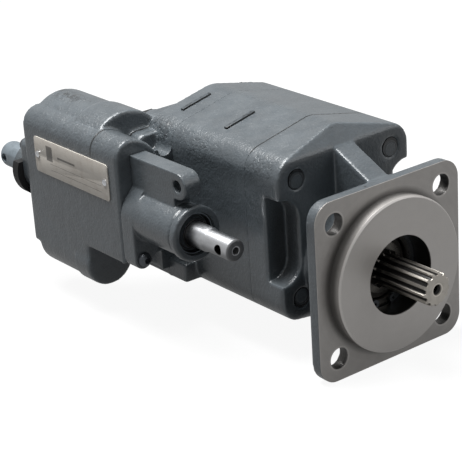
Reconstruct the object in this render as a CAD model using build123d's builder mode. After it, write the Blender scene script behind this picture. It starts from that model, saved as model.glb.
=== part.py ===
from build123d import *

import os
from math import acos, cos, pi, radians, sin, sqrt, tan

# Direct-mount external gear pump with a three-position spool valve in its port end cover.
#
# Frame, in millimetres: the origin is the centre of the mounting face, on the drive shaft's axis.
# The shaft points along -Y, the castings run back along +Y, +Z is up and the valve is on the -X side.

# ---------------------------------------------------------------- driving dimensions

# Mounting flange and pilot
flange_width = 120.0
flange_thickness = 9.0
flange_corner_radius = 13.0
flange_bolt_circle = 127.0
flange_hole_diameter = 14.3
pilot_diameter = 101.6
pilot_height = 9.5
pilot_chamfer = 1.0
neck_diameter = 74.0

# Outline that the pump's castings share
body_half_width = 55.0
ridge_height = 64.6
roof_angle = 12.5
corner_radius = 15.5
ridge_radius = 20.0

# Front cover
cover_front = 39.5
cover_depth = 32.5
cover_wall_depth = 14.0
cover_top = 53.0
cover_slope_run = 10.5
cover_slope_rise = 12.0
waist_half_width = 39.0
waist_height = 57.0
waist_radius = 14.0
rib_width = 17.0
rib_foot = 60.0

# Gears
gear_teeth = 8
gear_module = 5.5
gear_pressure_angle = 30.0
gear_addendum = 0.9
gear_width = 63.5
gear_root_clearance = 0.6
gear_backlash = 0.28
journal_diameter = 30.0

# Splined shaft end
spline_teeth = 13
spline_diameter = 21.8
spline_root_diameter = 18.6
shaft_reach = 41.3
centre_hole_diameter = 4.0

# Thrust plates, bushings and seals inside the pump
thrust_plate_thickness = 6.35
bushing_wall = 4.0
bushing_length = 26.0
bore_clearance = 0.05
journal_clearance = 0.05
side_clearance = 0.05
seat_clearance = 0.03
section_seal_inset = 2.5
section_seal_width = 2.6
section_seal_depth = 1.8
plate_seal_width = 2.4
plate_seal_depth = 1.4

# Outboard ball bearing, its snap ring and the shaft seal
bearing_diameter = 52.0
bearing_bore = 25.0
bearing_width = 15.0
bearing_front = 8.2
ball_diameter = 7.94
ball_count = 9
ball_clearance = 0.08
cage_half_wall = 1.6
snap_ring_thickness = 1.8
snap_ring_wall = 3.4
snap_ring_depth = 1.6
snap_ring_gap = 12.0
snap_ring_ear = 3.0
snap_ring_ear_x = 7.6
snap_ring_hole = 1.1
seal_diameter = 48.0
seal_width = 10.0

# Tie bolts and dowels
tie_bolt_diameter = 12.7
tie_bolt_clearance = 0.4
tie_bolt_head = 8.0
tie_bolt_across_flats = 19.0
washer_diameter = 24.0
washer_thickness = 2.4
dowel_diameter = 8.0
dowel_length = 16.0
dowel_offset = 44.0

# Port end cover, its rear flange and its inlet port
end_cover_depth = 27.0
rear_flange_depth = 13.0
rear_flange_half_width = 54.0
rear_flange_top = 53.0
rear_flange_radius = 14.0
foot_width = 15.0
foot_height = 13.4
foot_proud = 9.5
foot_drop = 3.7
foot_front = 130.0
foot_rear = 186.0
foot_radius = 1.5
inlet_radius = 20.6
inlet_boss_radius = 30.0
inlet_boss_height = 27.0
inlet_depth = 30.0
inlet_x = 8.0
passage_diameter = 14.0
passage_offset = 14.0

# Valve block
block_offset = 11.0
block_thickness = 35.0
block_front = 146.5
block_step = 190.0
block_rear = 260.0
block_floor = -8.0
block_shoulder = 62.5
block_crown_radius = 13.0
block_fall_width = 6.0
block_fall_rise = 4.0
block_fall = 10.0
web_lead = 10.2
web_rear = 236.0
web_top = 68.0
web_floor = -22.0
web_overlap = 7.0
web_bite = 4.0
channel_z = 62.3
gallery_radius = 17.0
gallery_right = -16.0
gallery_passage_radius = 5.5
low_boss_z = -22.5
low_boss_radius = 17.3
low_boss_collar = 1.3
low_boss_chamfer = 8.0
outlet_boss_offset = 4.0
outlet_z = 52.0
outlet_boss_radius = 30.0
outlet_boss_front = 178.0
outlet_collar = 1.2
collar_end = 208.0
outlet_radius = 16.4
outlet_port_offset = 2.5
outlet_port_z = 56.5
outlet_depth = 24.0

# Spool and its bonnets
spool_z = 25.4
spool_diameter = 25.4
spool_clearance = 0.03
spool_neck_diameter = 16.2
spool_nose_diameter = 14.4
spool_waist_diameter = 15.0
spool_lands = ((152.0, 174.0), (190.0, 208.0), (224.0, 248.0))
land_gap = 16.0
spool_front = 48.0
spool_nose_end = 73.0
spool_stroke = 14.0
tang_diameter = 19.0
tang_start = 258.0
tang_end = 314.0
tang_stud_radius = 5.0
tang_stud_length = 10.0
spool_chamber_radius = 13.3
spool_rod_clearance = 0.25
pin_hole_diameter = 6.5
front_pin_y = 57.0
rear_pin_y = 305.0
bonnet_front = 87.0
bonnet_radius = 17.25
bonnet_collar_radius = 18.4
bonnet_collar_length = 5.0
bonnet_flange_thickness = 13.0
bonnet_flange_radius = 17.4
bonnet_recess_radius = 14.2
bonnet_recess_depth = 13.0
wiper_setback = 1.6
wiper_lip = 1.4
wiper_groove = 4.0
lug_thickness = 12.7
lug_top = 65.5
lug_eye_y = 96.5
lug_eye_radius = 9.0
lug_undercut = 4.0
lug_bite = 0.8
lug_hole_diameter = 8.0
bonnet_screw_x = 10.5
bonnet_screw_z = 27.9
bonnet_screw_diameter = 6.35
bonnet_screw_head = 9.5
screw_depth = 16.0
screw_head_height = 4.0
screw_socket = 4.0
screw_socket_depth = 2.2
bonnet_ear_radius = 6.75
rear_bonnet_thickness = 8.0
rear_bonnet_radius = 14.5
rear_bonnet_length = 24.0
rear_screw_x = 11.0
rear_screw_z = 19.5
rear_flange_round = 16.0
rear_ear_radius = 5.2
guard_radius = 20.5
guard_length = 7.0
guard_opening = 8.0
screw_head_gap = 0.4
screw_shank_gap = 0.3
rear_wiper_width = 5.0
rear_wiper_radius = 12.0

# Load check valve
check_seat_y = 205.0
check_bore_radius = 12.0
check_passage_radius = 8.0
check_poppet_length = 14.0
check_lift = 6.0
check_wire = 1.6
check_coils = 4
check_clearance = 0.1
retainer_thickness = 3.0

# Relief valve
relief_seat_y = 204.0
relief_bore_radius = 9.0
relief_seat_bore = 4.0
relief_poppet_radius = 6.5
relief_poppet_length = 12.0
relief_lift = 3.0
relief_wire = 2.4
relief_coils = 5
relief_adjuster_length = 7.0
relief_seat_length = 8.0
relief_pin_radius = 2.6
relief_spring_length = 20.0
relief_slot_width = 2.4
relief_slot_depth = 3.0
relief_plug_length = 8.0
relief_plug_socket = 8.0
relief_socket_depth = 5.0

# Raised locating bars cast on the roof
bar_length = 25.0
bar_width = 2.0
bar_height = 0.8
housing_bar_y = 110.0
housing_bar_x = -27.0
end_cover_bar_y = 160.5
end_cover_bar_x = -24.0

# Nameplate
plate_length = 88.9
plate_height = 25.4
plate_thickness = 0.8
plate_centre_y = 200.6
plate_centre_z = 46.4
plate_screw_pitch = 81.2
plate_screw_head = 4.6
plate_screw_shank = 2.6
plate_screw_length = 5.0
plate_corner_radius = 2.5
plate_flat_margin = 1.0

# Clearance left at the end of a moving piece's stroke
stop_gap = 0.05

# ---------------------------------------------------------------- derived places

gear_pitch_radius = gear_module * gear_teeth / 2
centre_distance = 2 * gear_pitch_radius
middle_z = centre_distance / 2
gear_tip_radius = gear_pitch_radius + gear_addendum * gear_module
gear_root_radius = centre_distance - gear_tip_radius - gear_root_clearance
journal_radius = journal_diameter / 2
bushing_radius = journal_radius + journal_clearance + bushing_wall

cover_rear = cover_front + cover_depth
housing_length = gear_width + 2 * thrust_plate_thickness
housing_rear = cover_rear + housing_length
end_cover_rear = housing_rear + end_cover_depth
rear_face = end_cover_rear + rear_flange_depth
gear_front = cover_rear + thrust_plate_thickness + side_clearance
gear_rear = housing_rear - thrust_plate_thickness - side_clearance

bolt_x = body_half_width - corner_radius
roof_rise = body_half_width * tan(radians(roof_angle))
bolt_half_z = ridge_height - bolt_x * tan(radians(roof_angle)) - corner_radius / cos(radians(roof_angle))
bolt_places = [(x, middle_z + z) for x in (-bolt_x, bolt_x) for z in (-bolt_half_z, bolt_half_z)]

bearing_rear = bearing_front + bearing_width
bearing_pitch_radius = (bearing_diameter + bearing_bore) / 4
seal_rear = bearing_rear + seal_width + 0.5
web_front = end_cover_rear - web_lead
block_right = -(body_half_width + block_offset)
block_left = block_right - block_thickness
block_middle = block_right - block_thickness / 2
spool_x = block_middle
outlet_x = block_right - outlet_boss_offset
outlet_port_x = block_right - outlet_port_offset
web_right = web_overlap - body_half_width
pressure_y = end_cover_rear + rear_flange_depth / 2
spool_bore_radius = spool_diameter / 2 + spool_clearance
front_stop = spool_lands[0][0] - spool_stroke - stop_gap
rear_stop = spool_lands[-1][1] + spool_stroke + stop_gap


# ---------------------------------------------------------------- drawing helpers

def across(y, x=0.0, z=0.0):
    """Plane across the shaft at y, seen from the shaft end, so a positive extrude runs forward."""
    return Plane(origin=(x, y, z), x_dir=(1, 0, 0), z_dir=(0, -1, 0))


def sideways(x, y, z):
    """Plane facing +X through (x, y, z), drawn with y across and z up."""
    return Plane(origin=(x, y, z), x_dir=(0, 1, 0), z_dir=(1, 0, 0))


def plate_seat():
    """Plane on the side of the valve block at the middle of the nameplate, facing out."""
    return Plane(origin=(block_left, plate_centre_y, plate_centre_z), x_dir=(0, -1, 0), z_dir=(-1, 0, 0))


def turning(x=0.0, z=0.0):
    """Plane for a turned piece whose axis lies along Y: first radius, then y."""
    return Plane(origin=(x, 0, z), x_dir=(1, 0, 0), z_dir=(0, 0, 1))


def lathe_axis(x=0.0, z=0.0):
    """Axis along +Y through (x, z)."""
    return Axis((x, 0, z), (0, 1, 0))


def turned(profile, x=0.0, z=0.0):
    """Solid of revolution about Y from a closed list of (radius, y) points."""
    with BuildPart() as blank:
        with BuildSketch(turning(x, z)):
            with BuildLine():
                Polyline(*profile, close=True)
            make_face()
        revolve(axis=lathe_axis(x, z))
    return blank.part


def ring(inner, outer, front, rear, x=0.0, z=0.0):
    """Plain ring or tube about Y."""
    return turned([(inner, front), (outer, front), (outer, rear), (inner, rear)], x, z)


def rod(radius, front, rear, x=0.0, z=0.0):
    """Plain cylinder about Y."""
    return turned([(0, front), (radius, front), (radius, rear), (0, rear)], x, z)


def roof_plane(y):
    """Plane on the left slope of the castings' roof: x runs up the slope's width, the normal points out."""
    slope = radians(roof_angle)
    return Plane(
        origin=(0, y, middle_z + ridge_height),
        x_dir=(cos(slope), 0, sin(slope)),
        z_dir=(-sin(slope), 0, cos(slope)),
    )


def casting_outline():
    """Six-sided casting outline with round corners, centred between the gear axes."""
    shoulder = ridge_height - roof_rise
    with BuildSketch() as outline:
        with BuildLine():
            Polyline(
                (-body_half_width, shoulder),
                (0, ridge_height),
                (body_half_width, shoulder),
                (body_half_width, -shoulder),
                (0, -ridge_height),
                (-body_half_width, -shoulder),
                close=True,
            )
        make_face()
        corners = outline.vertices().filter_by(lambda v: abs(v.X) > 1)
        fillet(corners, corner_radius)
        ridges = outline.vertices().filter_by(lambda v: abs(v.X) < 0.01)
        fillet(ridges, ridge_radius)
    return outline.sketch


def foot_outline():
    """Section of the square foot along the pump's lower left edge, about the middle of the pump."""
    with BuildSketch() as foot:
        with Locations((-body_half_width - foot_proud + foot_width / 2, -bolt_half_z - foot_drop)):
            RectangleRounded(foot_width, foot_height, foot_radius)
    return foot.sketch


def figure_eight(radius):
    """Two overlapping circles on the gear axes, centred between them."""
    with BuildSketch() as outline:
        with Locations((0, -middle_z), (0, middle_z)):
            Circle(radius)
    return outline.sketch


def racetrack(radius):
    """Straight-sided loop round both gear axes, centred between them."""
    with BuildSketch() as outline:
        SlotCenterToCenter(centre_distance, 2 * radius, rotation=90)
    return outline.sketch


def involute_point(base_radius, radius, pitch_half_angle, pitch_inv, side):
    """Point of an involute flank at a radius; side is +1 or -1 about the tooth's middle."""
    angle = acos(base_radius / radius)
    half = pitch_half_angle + pitch_inv - (tan(angle) - angle)
    return (radius * sin(side * half), radius * cos(side * half))


def gear_tooth_outline():
    """One involute pump tooth pointing up, joined to the gear's middle."""
    angle = radians(gear_pressure_angle)
    base = gear_pitch_radius * cos(angle)
    pitch_inv = tan(angle) - angle
    half = pi / (2 * gear_teeth) - gear_backlash / (4 * gear_pitch_radius)
    steps = [base + 0.02 + (gear_tip_radius - base - 0.02) * k / 4 for k in range(5)]
    right = [involute_point(base, r, half, pitch_inv, 1) for r in steps]
    left = [involute_point(base, r, half, pitch_inv, -1) for r in steps]
    root_half = half + pitch_inv
    foot_right = (gear_root_radius * sin(root_half), gear_root_radius * cos(root_half))
    foot_left = (-foot_right[0], foot_right[1])
    with BuildSketch() as tooth:
        with BuildLine():
            Polyline((0, 0), foot_right, right[0])
            Spline(*right)
            ThreePointArc(right[-1], (0, gear_tip_radius), left[-1])
            Spline(*reversed(left))
            Polyline(left[0], foot_left, (0, 0))
        make_face()
    return tooth.sketch


def gear_outline(turn):
    """Whole gear section, turned by an angle in degrees."""
    tooth = gear_tooth_outline()
    with BuildSketch() as outline:
        Circle(gear_root_radius)
        with PolarLocations(0, gear_teeth, start_angle=turn):
            add(tooth)
    return outline.sketch


def spline_space_outline(depth_radius):
    """One space between spline teeth, from the root out to a radius, pointing up."""
    root = spline_root_diameter / 2
    root_half = 0.34 * pi / spline_teeth
    wide_half = root_half + 0.62 * (depth_radius - root) / depth_radius
    with BuildSketch() as space:
        with BuildLine():
            Polyline(
                (-root * sin(root_half), root * cos(root_half)),
                (root * sin(root_half), root * cos(root_half)),
                (depth_radius * sin(wide_half), depth_radius * cos(wide_half)),
                (-depth_radius * sin(wide_half), depth_radius * cos(wide_half)),
                close=True,
            )
        make_face()
    return space.sketch


def coil_spring(mean_radius, wire, front, rear, coils, x, z):
    """Open-coiled round-wire spring about Y that fills the length between two seats."""
    pitch = (rear - front - wire) / coils
    with BuildPart() as spring:
        with BuildLine() as path:
            Helix(pitch, pitch * coils, mean_radius, center=(x, front + wire / 2, z), direction=(0, 1, 0))
        with BuildSketch(Plane(origin=path.line @ 0, z_dir=path.line % 0)):
            RegularPolygon(wire / 2, 6)
        sweep(path=path.line, is_frenet=True)
    return spring.part


def save(name, solid):
    """Label one finished sub-part and write it as a STEP file."""
    solid.label = name
    export_step(solid, f"parts/{name}.step")


os.makedirs("parts", exist_ok=True)

casting = casting_outline()

# ---------------------------------------------------------------- mounting cover

waist_centre = waist_half_width + waist_height / 2
rib_top = middle_z + cover_top - 0.5
rib_bottom = middle_z - cover_top + 0.5

with BuildPart() as mounting_cover:
    with BuildSketch(across(cover_rear, z=middle_z)):
        add(casting)
    extrude(amount=cover_depth)
    with BuildSketch(across(cover_front + cover_wall_depth, z=middle_z)):
        with Locations((-waist_centre, 0), (waist_centre, 0)):
            RectangleRounded(waist_height, waist_height, waist_radius)
    extrude(amount=cover_wall_depth, mode=Mode.SUBTRACT)
    with BuildSketch(Plane.YZ.offset(-body_half_width)):
        for side in (1, -1):
            with BuildLine():
                Polyline(
                    (cover_front, middle_z + side * cover_top),
                    (cover_front, middle_z + side * (ridge_height + 1)),
                    (
                        cover_front + cover_slope_run * (ridge_height + 1 - cover_top) / cover_slope_rise,
                        middle_z + side * (ridge_height + 1),
                    ),
                    close=True,
                )
            make_face()
    extrude(amount=2 * body_half_width, mode=Mode.SUBTRACT)
    with BuildSketch(across(cover_front)):
        Circle(neck_diameter / 2)
    extrude(amount=cover_front - flange_thickness)
    with BuildSketch(Plane.YZ.offset(-rib_width / 2)):
        with BuildLine():
            Polyline(
                (cover_front, 0),
                (cover_front, rib_top),
                (flange_thickness, rib_foot),
                (flange_thickness, -rib_foot + 8),
                (cover_front, rib_bottom),
                close=True,
            )
        make_face()
    extrude(amount=rib_width)
    with BuildSketch(across(flange_thickness)):
        RectangleRounded(flange_width, flange_width, flange_corner_radius)
    extrude(amount=flange_thickness)
    with BuildSketch(across(0)):
        Circle(pilot_diameter / 2)
    extrude(amount=pilot_height)
    chamfer(mounting_cover.faces().sort_by(Axis.Y)[0].edges(), pilot_chamfer)
    flange_pitch = flange_bolt_circle / sqrt(2)
    with BuildSketch(across(flange_thickness)):
        with GridLocations(flange_pitch, flange_pitch, 2, 2):
            Circle(flange_hole_diameter / 2)
    extrude(amount=flange_thickness, mode=Mode.SUBTRACT)
    with BuildSketch(across(cover_rear)):
        with Locations(*bolt_places):
            Circle(tie_bolt_diameter / 2 + seat_clearance)
    extrude(amount=cover_depth, mode=Mode.SUBTRACT)
    with BuildSketch(across(cover_rear)):
        with Locations((0, 0), (0, centre_distance)):
            Circle(bushing_radius + seat_clearance)
    extrude(amount=bushing_length, mode=Mode.SUBTRACT)
    with BuildSketch(across(cover_rear, z=middle_z)):
        with Locations((-dowel_offset, 0), (dowel_offset, 0)):
            Circle(dowel_diameter / 2 + seat_clearance)
    extrude(amount=dowel_length / 2, mode=Mode.SUBTRACT)
    add(rod(journal_radius + 1.5, 0, cover_rear), mode=Mode.SUBTRACT)
    add(rod(seal_diameter / 2 + seat_clearance, 0, seal_rear), mode=Mode.SUBTRACT)
    add(rod(bearing_diameter / 2 + seat_clearance, -pilot_height, bearing_rear), mode=Mode.SUBTRACT)
    groove_radius = bearing_diameter / 2 + snap_ring_depth
    add(rod(groove_radius, bearing_front - snap_ring_thickness - 0.1, bearing_front), mode=Mode.SUBTRACT)
save("mounting_cover", mounting_cover.part)

# ---------------------------------------------------------------- gear housing

section_seal_radius = gear_tip_radius + bore_clearance + section_seal_inset

with BuildPart() as gear_housing:
    with BuildSketch(across(housing_rear, z=middle_z)):
        add(casting)
        add(figure_eight(gear_tip_radius + bore_clearance), mode=Mode.SUBTRACT)
    extrude(amount=housing_length)
    with BuildSketch(across(housing_rear, z=middle_z)):
        add(foot_outline())
    extrude(amount=housing_rear - foot_front)
    with BuildSketch(across(housing_rear)):
        with Locations(*bolt_places):
            Circle(tie_bolt_diameter / 2 + tie_bolt_clearance)
    extrude(amount=housing_length, mode=Mode.SUBTRACT)
    for face_y in (cover_rear + dowel_length / 2, housing_rear):
        with BuildSketch(across(face_y, z=middle_z)):
            with Locations((-dowel_offset, 0), (dowel_offset, 0)):
                Circle(dowel_diameter / 2 + seat_clearance)
        extrude(amount=dowel_length / 2, mode=Mode.SUBTRACT)
    for groove_y in (cover_rear + section_seal_depth, housing_rear):
        with BuildSketch(across(groove_y, z=middle_z)):
            add(racetrack(section_seal_radius + section_seal_width))
            add(racetrack(section_seal_radius), mode=Mode.SUBTRACT)
        extrude(amount=section_seal_depth, mode=Mode.SUBTRACT)
    with BuildSketch(roof_plane(housing_bar_y)):
        with Locations((housing_bar_x, 0)):
            Rectangle(bar_length, bar_width)
    extrude(amount=bar_height)
save("gear_housing", gear_housing.part)

seal_rears = {"front_section_seal": cover_rear + section_seal_depth, "rear_section_seal": housing_rear}
for name, seal_y in seal_rears.items():
    with BuildPart() as section_seal:
        with BuildSketch(across(seal_y, z=middle_z)):
            add(racetrack(section_seal_radius + section_seal_width - 0.1))
            add(racetrack(section_seal_radius + 0.1), mode=Mode.SUBTRACT)
        extrude(amount=section_seal_depth)
    save(name, section_seal.part)

# ---------------------------------------------------------------- gears and shafts

shaft_front = -shaft_reach
shoulder_y = bearing_front - 4
rear_journal_end = housing_rear + bushing_length - 3
front_journal_start = cover_rear - bushing_length + 3

with BuildPart() as drive_gear_shaft:
    with BuildSketch(across(gear_rear)):
        add(gear_outline(0))
    extrude(amount=gear_rear - gear_front)
    add(
        turned(
            [
                (0, shaft_front),
                (spline_diameter / 2 - 1, shaft_front),
                (spline_diameter / 2, shaft_front + 1),
                (spline_diameter / 2, shoulder_y - 2),
                (bearing_bore / 2, shoulder_y),
                (bearing_bore / 2, bearing_rear),
                (journal_radius, bearing_rear + 0.6),
                (journal_radius, rear_journal_end - 1),
                (journal_radius - 1, rear_journal_end),
                (0, rear_journal_end),
            ]
        )
    )
    with BuildSketch(across(shoulder_y + 2.5)):
        with PolarLocations(0, spline_teeth):
            add(spline_space_outline(bearing_bore / 2 + 0.5))
    extrude(amount=shaft_reach + shoulder_y + 2.5, mode=Mode.SUBTRACT)
    add(
        turned(
            [
                (0, shaft_front),
                (centre_hole_diameter / 2 + 1.6, shaft_front),
                (centre_hole_diameter / 2, shaft_front + 2.2),
                (centre_hole_diameter / 2, shaft_front + 6),
                (0, shaft_front + 7),
            ]
        ),
        mode=Mode.SUBTRACT,
    )
save("drive_gear_shaft", drive_gear_shaft.part)

with BuildPart() as idler_gear_shaft:
    with BuildSketch(across(gear_rear, z=centre_distance)):
        add(gear_outline(180 / gear_teeth))
    extrude(amount=gear_rear - gear_front)
    add(
        turned(
            [
                (0, front_journal_start),
                (journal_radius - 1, front_journal_start),
                (journal_radius, front_journal_start + 1),
                (journal_radius, rear_journal_end - 1),
                (journal_radius - 1, rear_journal_end),
                (0, rear_journal_end),
            ],
            z=centre_distance,
        )
    )
save("idler_gear_shaft", idler_gear_shaft.part)

# ---------------------------------------------------------------- bushings and thrust plates

bushing_rears = {"front": cover_rear, "rear": housing_rear + bushing_length}
bushing_heights = {"drive": 0.0, "idler": centre_distance}
for end, bushing_y in bushing_rears.items():
    for shaft, bushing_z in bushing_heights.items():
        with BuildPart() as bushing:
            with BuildSketch(across(bushing_y, z=bushing_z)):
                Circle(bushing_radius)
                Circle(journal_radius + journal_clearance, mode=Mode.SUBTRACT)
            extrude(amount=bushing_length)
            with BuildSketch(across(bushing_y, z=bushing_z)):
                with Locations((journal_radius, 0)):
                    Rectangle(2.4, 3)
            extrude(amount=bushing_length, mode=Mode.SUBTRACT)
        save(f"{end}_{shaft}_bushing", bushing.part)

plate_seal_radius = gear_tip_radius - 3.0
plate_rears = {"front": cover_rear + thrust_plate_thickness, "rear": housing_rear}
for end, plate_y in plate_rears.items():
    facing_gears = end == "front"
    back_y = plate_y - thrust_plate_thickness if facing_gears else plate_y
    pocket_y = plate_y if facing_gears else plate_y - thrust_plate_thickness + 2
    groove_y = back_y + plate_seal_depth if facing_gears else back_y
    with BuildPart() as thrust_plate:
        with BuildSketch(across(plate_y, z=middle_z)):
            add(figure_eight(gear_tip_radius))
            with Locations((0, -middle_z), (0, middle_z)):
                Circle(journal_radius + 0.4, mode=Mode.SUBTRACT)
        extrude(amount=thrust_plate_thickness)
        with BuildSketch(across(groove_y, z=middle_z)):
            add(figure_eight(plate_seal_radius))
            add(figure_eight(plate_seal_radius - plate_seal_width), mode=Mode.SUBTRACT)
        extrude(amount=plate_seal_depth, mode=Mode.SUBTRACT)
        with BuildSketch(across(pocket_y, z=middle_z)):
            with Locations((-7, 0), (7, 0)):
                SlotOverall(9, 5)
        extrude(amount=2, mode=Mode.SUBTRACT)
    save(f"{end}_thrust_plate", thrust_plate.part)
    with BuildPart() as plate_seal:
        with BuildSketch(across(groove_y, z=middle_z)):
            add(figure_eight(plate_seal_radius - 0.1))
            add(figure_eight(plate_seal_radius - plate_seal_width + 0.1), mode=Mode.SUBTRACT)
        extrude(amount=plate_seal_depth)
    save(f"{end}_plate_seal", plate_seal.part)

# ---------------------------------------------------------------- outboard bearing and shaft seal

race_gap = ball_diameter * 0.3
groove_radius = ball_diameter / 2 + ball_clearance
ball_y = bearing_front + bearing_width / 2

with BuildPart() as raceway:
    with BuildSketch(turning()):
        with Locations((bearing_pitch_radius, ball_y)):
            Circle(groove_radius)
    revolve(axis=lathe_axis())

with BuildPart() as bearing_outer_race:
    add(ring(bearing_pitch_radius + race_gap, bearing_diameter / 2, bearing_front, bearing_rear))
    add(raceway.part, mode=Mode.SUBTRACT)
save("bearing_outer_race", bearing_outer_race.part)

with BuildPart() as bearing_inner_race:
    inner_race_rim = bearing_pitch_radius - race_gap
    add(ring(bearing_bore / 2 + seat_clearance, inner_race_rim, bearing_front, bearing_rear))
    add(raceway.part, mode=Mode.SUBTRACT)
save("bearing_inner_race", bearing_inner_race.part)


def bearing_ball(radius, place):
    """One of the bearing's balls, or the pocket round it."""
    with BuildPart() as ball:
        with BuildSketch(turning()):
            with Locations((bearing_pitch_radius, ball_y)):
                Circle(radius)
                with Locations((-radius, 0)):
                    Rectangle(2 * radius, 2 * radius, mode=Mode.SUBTRACT)
        revolve(axis=lathe_axis(bearing_pitch_radius))
    return ball.part.rotate(Axis.Y, 360 * place / ball_count)


with BuildPart() as bearing_balls:
    for place in range(ball_count):
        add(bearing_ball(ball_diameter / 2, place))
save("bearing_balls", bearing_balls.part)

with BuildPart() as bearing_cage:
    cage_inner = bearing_pitch_radius - cage_half_wall
    cage_outer = bearing_pitch_radius + cage_half_wall
    add(ring(cage_inner, cage_outer, bearing_front + 2.6, ball_y - 0.8))
    for place in range(ball_count):
        add(bearing_ball(ball_diameter / 2 + ball_clearance, place), mode=Mode.SUBTRACT)
save("bearing_cage", bearing_cage.part)

with BuildPart() as bearing_snap_ring:
    ring_outer = bearing_diameter / 2 + snap_ring_depth - 0.2
    snap_ring_ear_z = snap_ring_wall + 1.2 - ring_outer
    with BuildSketch(across(bearing_front)):
        Circle(ring_outer)
        Circle(ring_outer - snap_ring_wall, mode=Mode.SUBTRACT)
        with Locations((0, -ring_outer)):
            Rectangle(snap_ring_gap, 4 * snap_ring_wall, mode=Mode.SUBTRACT)
        with Locations((-snap_ring_ear_x, snap_ring_ear_z), (snap_ring_ear_x, snap_ring_ear_z)):
            Circle(snap_ring_ear)
            Circle(snap_ring_hole, mode=Mode.SUBTRACT)
    extrude(amount=snap_ring_thickness)
save("bearing_snap_ring", bearing_snap_ring.part)

lip_radius = journal_radius + journal_clearance
shaft_seal = turned(
    [
        (lip_radius, bearing_rear + 6.0),
        (lip_radius + 1.6, bearing_rear + 4.2),
        (lip_radius + 3.0, bearing_rear + 2.2),
        (seal_diameter / 2, bearing_rear + 2.2),
        (seal_diameter / 2, seal_rear),
        (seal_diameter / 2 - 1.6, seal_rear),
        (seal_diameter / 2 - 1.6, bearing_rear + 4.6),
        (lip_radius + 4.4, bearing_rear + 4.6),
        (lip_radius + 3.6, bearing_rear + 7.6),
        (lip_radius + 1.2, bearing_rear + 7.8),
    ]
)
save("shaft_seal", shaft_seal)

# ---------------------------------------------------------------- dowels, tie bolts and washers

with BuildPart() as dowel_pins:
    for joint_y in (cover_rear, housing_rear):
        with BuildSketch(across(joint_y + dowel_length / 2, z=middle_z)):
            with Locations((-dowel_offset, 0), (dowel_offset, 0)):
                Circle(dowel_diameter / 2)
        extrude(amount=dowel_length)
save("dowel_pins", dowel_pins.part)

with BuildPart() as tie_bolts:
    with BuildSketch(across(rear_face + washer_thickness)):
        with Locations(*bolt_places):
            Circle(tie_bolt_diameter / 2)
    extrude(amount=rear_face + washer_thickness - cover_front - 0.4)
    with BuildSketch(across(rear_face + washer_thickness + tie_bolt_head)):
        with Locations(*bolt_places):
            RegularPolygon(tie_bolt_across_flats / 2, 6, major_radius=False)
    extrude(amount=tie_bolt_head)
save("tie_bolts", tie_bolts.part)

with BuildPart() as tie_bolt_washers:
    with BuildSketch(across(rear_face + washer_thickness)):
        with Locations(*bolt_places):
            Circle(washer_diameter / 2)
            Circle(tie_bolt_diameter / 2 + seat_clearance, mode=Mode.SUBTRACT)
    extrude(amount=washer_thickness)
save("tie_bolt_washers", tie_bolt_washers.part)

# ---------------------------------------------------------------- valve body

port_mouth = block_rear - outlet_depth
bonnet_screw_places = [(-bonnet_screw_x, -bonnet_screw_z), (bonnet_screw_x, bonnet_screw_z)]
rear_screw_places = [(-rear_screw_x, rear_screw_z), (rear_screw_x, -rear_screw_z)]

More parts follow.
